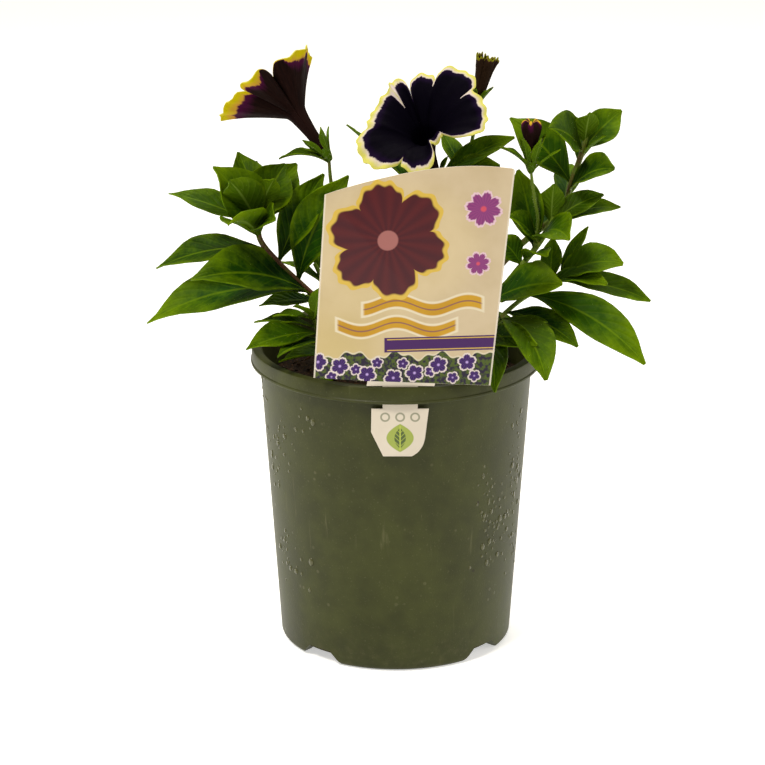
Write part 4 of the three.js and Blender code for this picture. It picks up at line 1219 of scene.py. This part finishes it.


# ---- everything together

# The third colour of each leaf finish is the paler green of young leaves and also of the painted highlight and the
# pale margin.
leaf_top = leaf_finish("leaf_upper", (8, 36, 0), (40, 80, 0), (120, 146, 0), (112, 140, 8),
                       0.0, 0.22)
leaf_under = leaf_finish("leaf_underside", (40, 70, 0), (74, 106, 2), (116, 140, 4),
                         (138, 162, 70), 0.1, -0.18)
stem_skin = stem_finish()
hair_white = hair_finish()
petal_face = petal_finish("petal_velvet", (1, 0, 6), (4, 1, 12), (24, 7, 40), (196, 192, 96),
                          (200, 186, 184), 0.15)
petal_back = petal_finish("petal_outside", (10, 5, 6), (38, 20, 16), (78, 16, 62), (196, 180, 8),
                          (196, 140, 60), 0.15)
petal_aged = petal_finish("petal_closing", (16, 9, 7), (50, 34, 20), (52, 30, 26), (118, 118, 20),
                          (120, 100, 40), 0.4)
pot_plastic = pot_finish()
water_film = water_finish()
mix_crumb = mix_finish()
bark_bits = bark_finish()
card_white = plain_card_finish()
card_print = print_finish()

# One flat blade, from which every leaf and sepal is copied.
leaf_pattern = primitive(bpy.ops.mesh.primitive_grid_add, "flat_leaf", leaf_top, leaf_under,
                         x_subdivisions=LEAF_COLUMNS, y_subdivisions=LEAF_ROWS, size=1)
pot()
potting_mix()
plant_tag()
for number, (name, branches) in enumerate(SHOOTS.items()):
    shoot(name, branches, FIRST_SHOOT_SEED + number)
trumpet("left_flower", "left_bloom", "left_bloom_stem", LEFT_LOBES, 40, (petal_face, petal_back),
        tube=27, throat=5, radii=(1.3, 1.9, 2.3, 2.9, 4), rise=19, bow=0.2, curl=0, ruffle=1, pleat=2.2, ripple=0.8,
        margin=7, even=(0.3, 0.6, -2.5, 0.5, 0.3))
trumpet("front_flower", "front_bloom", "front_bloom_stem", FRONT_LOBES, 44, (petal_face, petal_back),
        tube=34, throat=6.5, radii=(1.3, 1.9, 2.3, 2.9, 5.2), rise=12, bow=1, curl=2, ruffle=1.2, pleat=1.5,
        ripple=0.7, margin=3.8, even=0.85)
trumpet("closing_flower", "closing_bloom", "closing_bloom_stem", CLOSING_LOBES, 36, (petal_aged, petal_aged),
        tube=18, throat=4.4, radii=(1.3, 1.9, 2.6, 3.2, 3.9), rise=5, bow=0.2, curl=0, ruffle=1, pleat=2.4,
        ripple=0.6, margin=1.4, even=0.1)
furled_bud(SHOOTS["right_middle_shoot"][-1]["path"][-1])
bpy.data.objects.remove(leaf_pattern)

# ---- floor, light and camera

floor = primitive(bpy.ops.mesh.primitive_plane_add, "floor", floor_finish(), size=14, location=(0, 0, -0.0002))

world = bpy.data.worlds.new("studio")
bpy.context.scene.world = world
world.use_nodes = True
sky = world.node_tree.nodes["Background"].inputs
sky["Color"].default_value = SKY_COLOUR
sky["Strength"].default_value = SKY_STRENGTH


def aim(item, place, target):
    """Sets a lamp or the camera on its place, looking at a target, both in metres."""
    item.location = place
    item.rotation_euler = (Vector(target) - Vector(place)).to_track_quat("-Z", "Y").to_euler()


for name, place, target_height, size, watts in LIGHTS:
    lamp = bpy.data.lights.new(name, "AREA")
    lamp.shape = "DISK"
    lamp.size = size
    lamp.energy = watts
    lamp.color = LIGHT_COLOUR
    aim(set_out(name, lamp), place, (0, 0, target_height))

camera = bpy.data.cameras.new("camera")
camera.sensor_width = SENSOR_WIDTH
camera.lens = FOCAL_LENGTH
camera.clip_start = 0.05
camera.clip_end = 50
eye = set_out("camera", camera)
aim(eye, CAMERA_PLACE, CAMERA_TARGET)
bpy.context.scene.camera = eye
bpy.context.scene.view_settings.view_transform = "Standard"
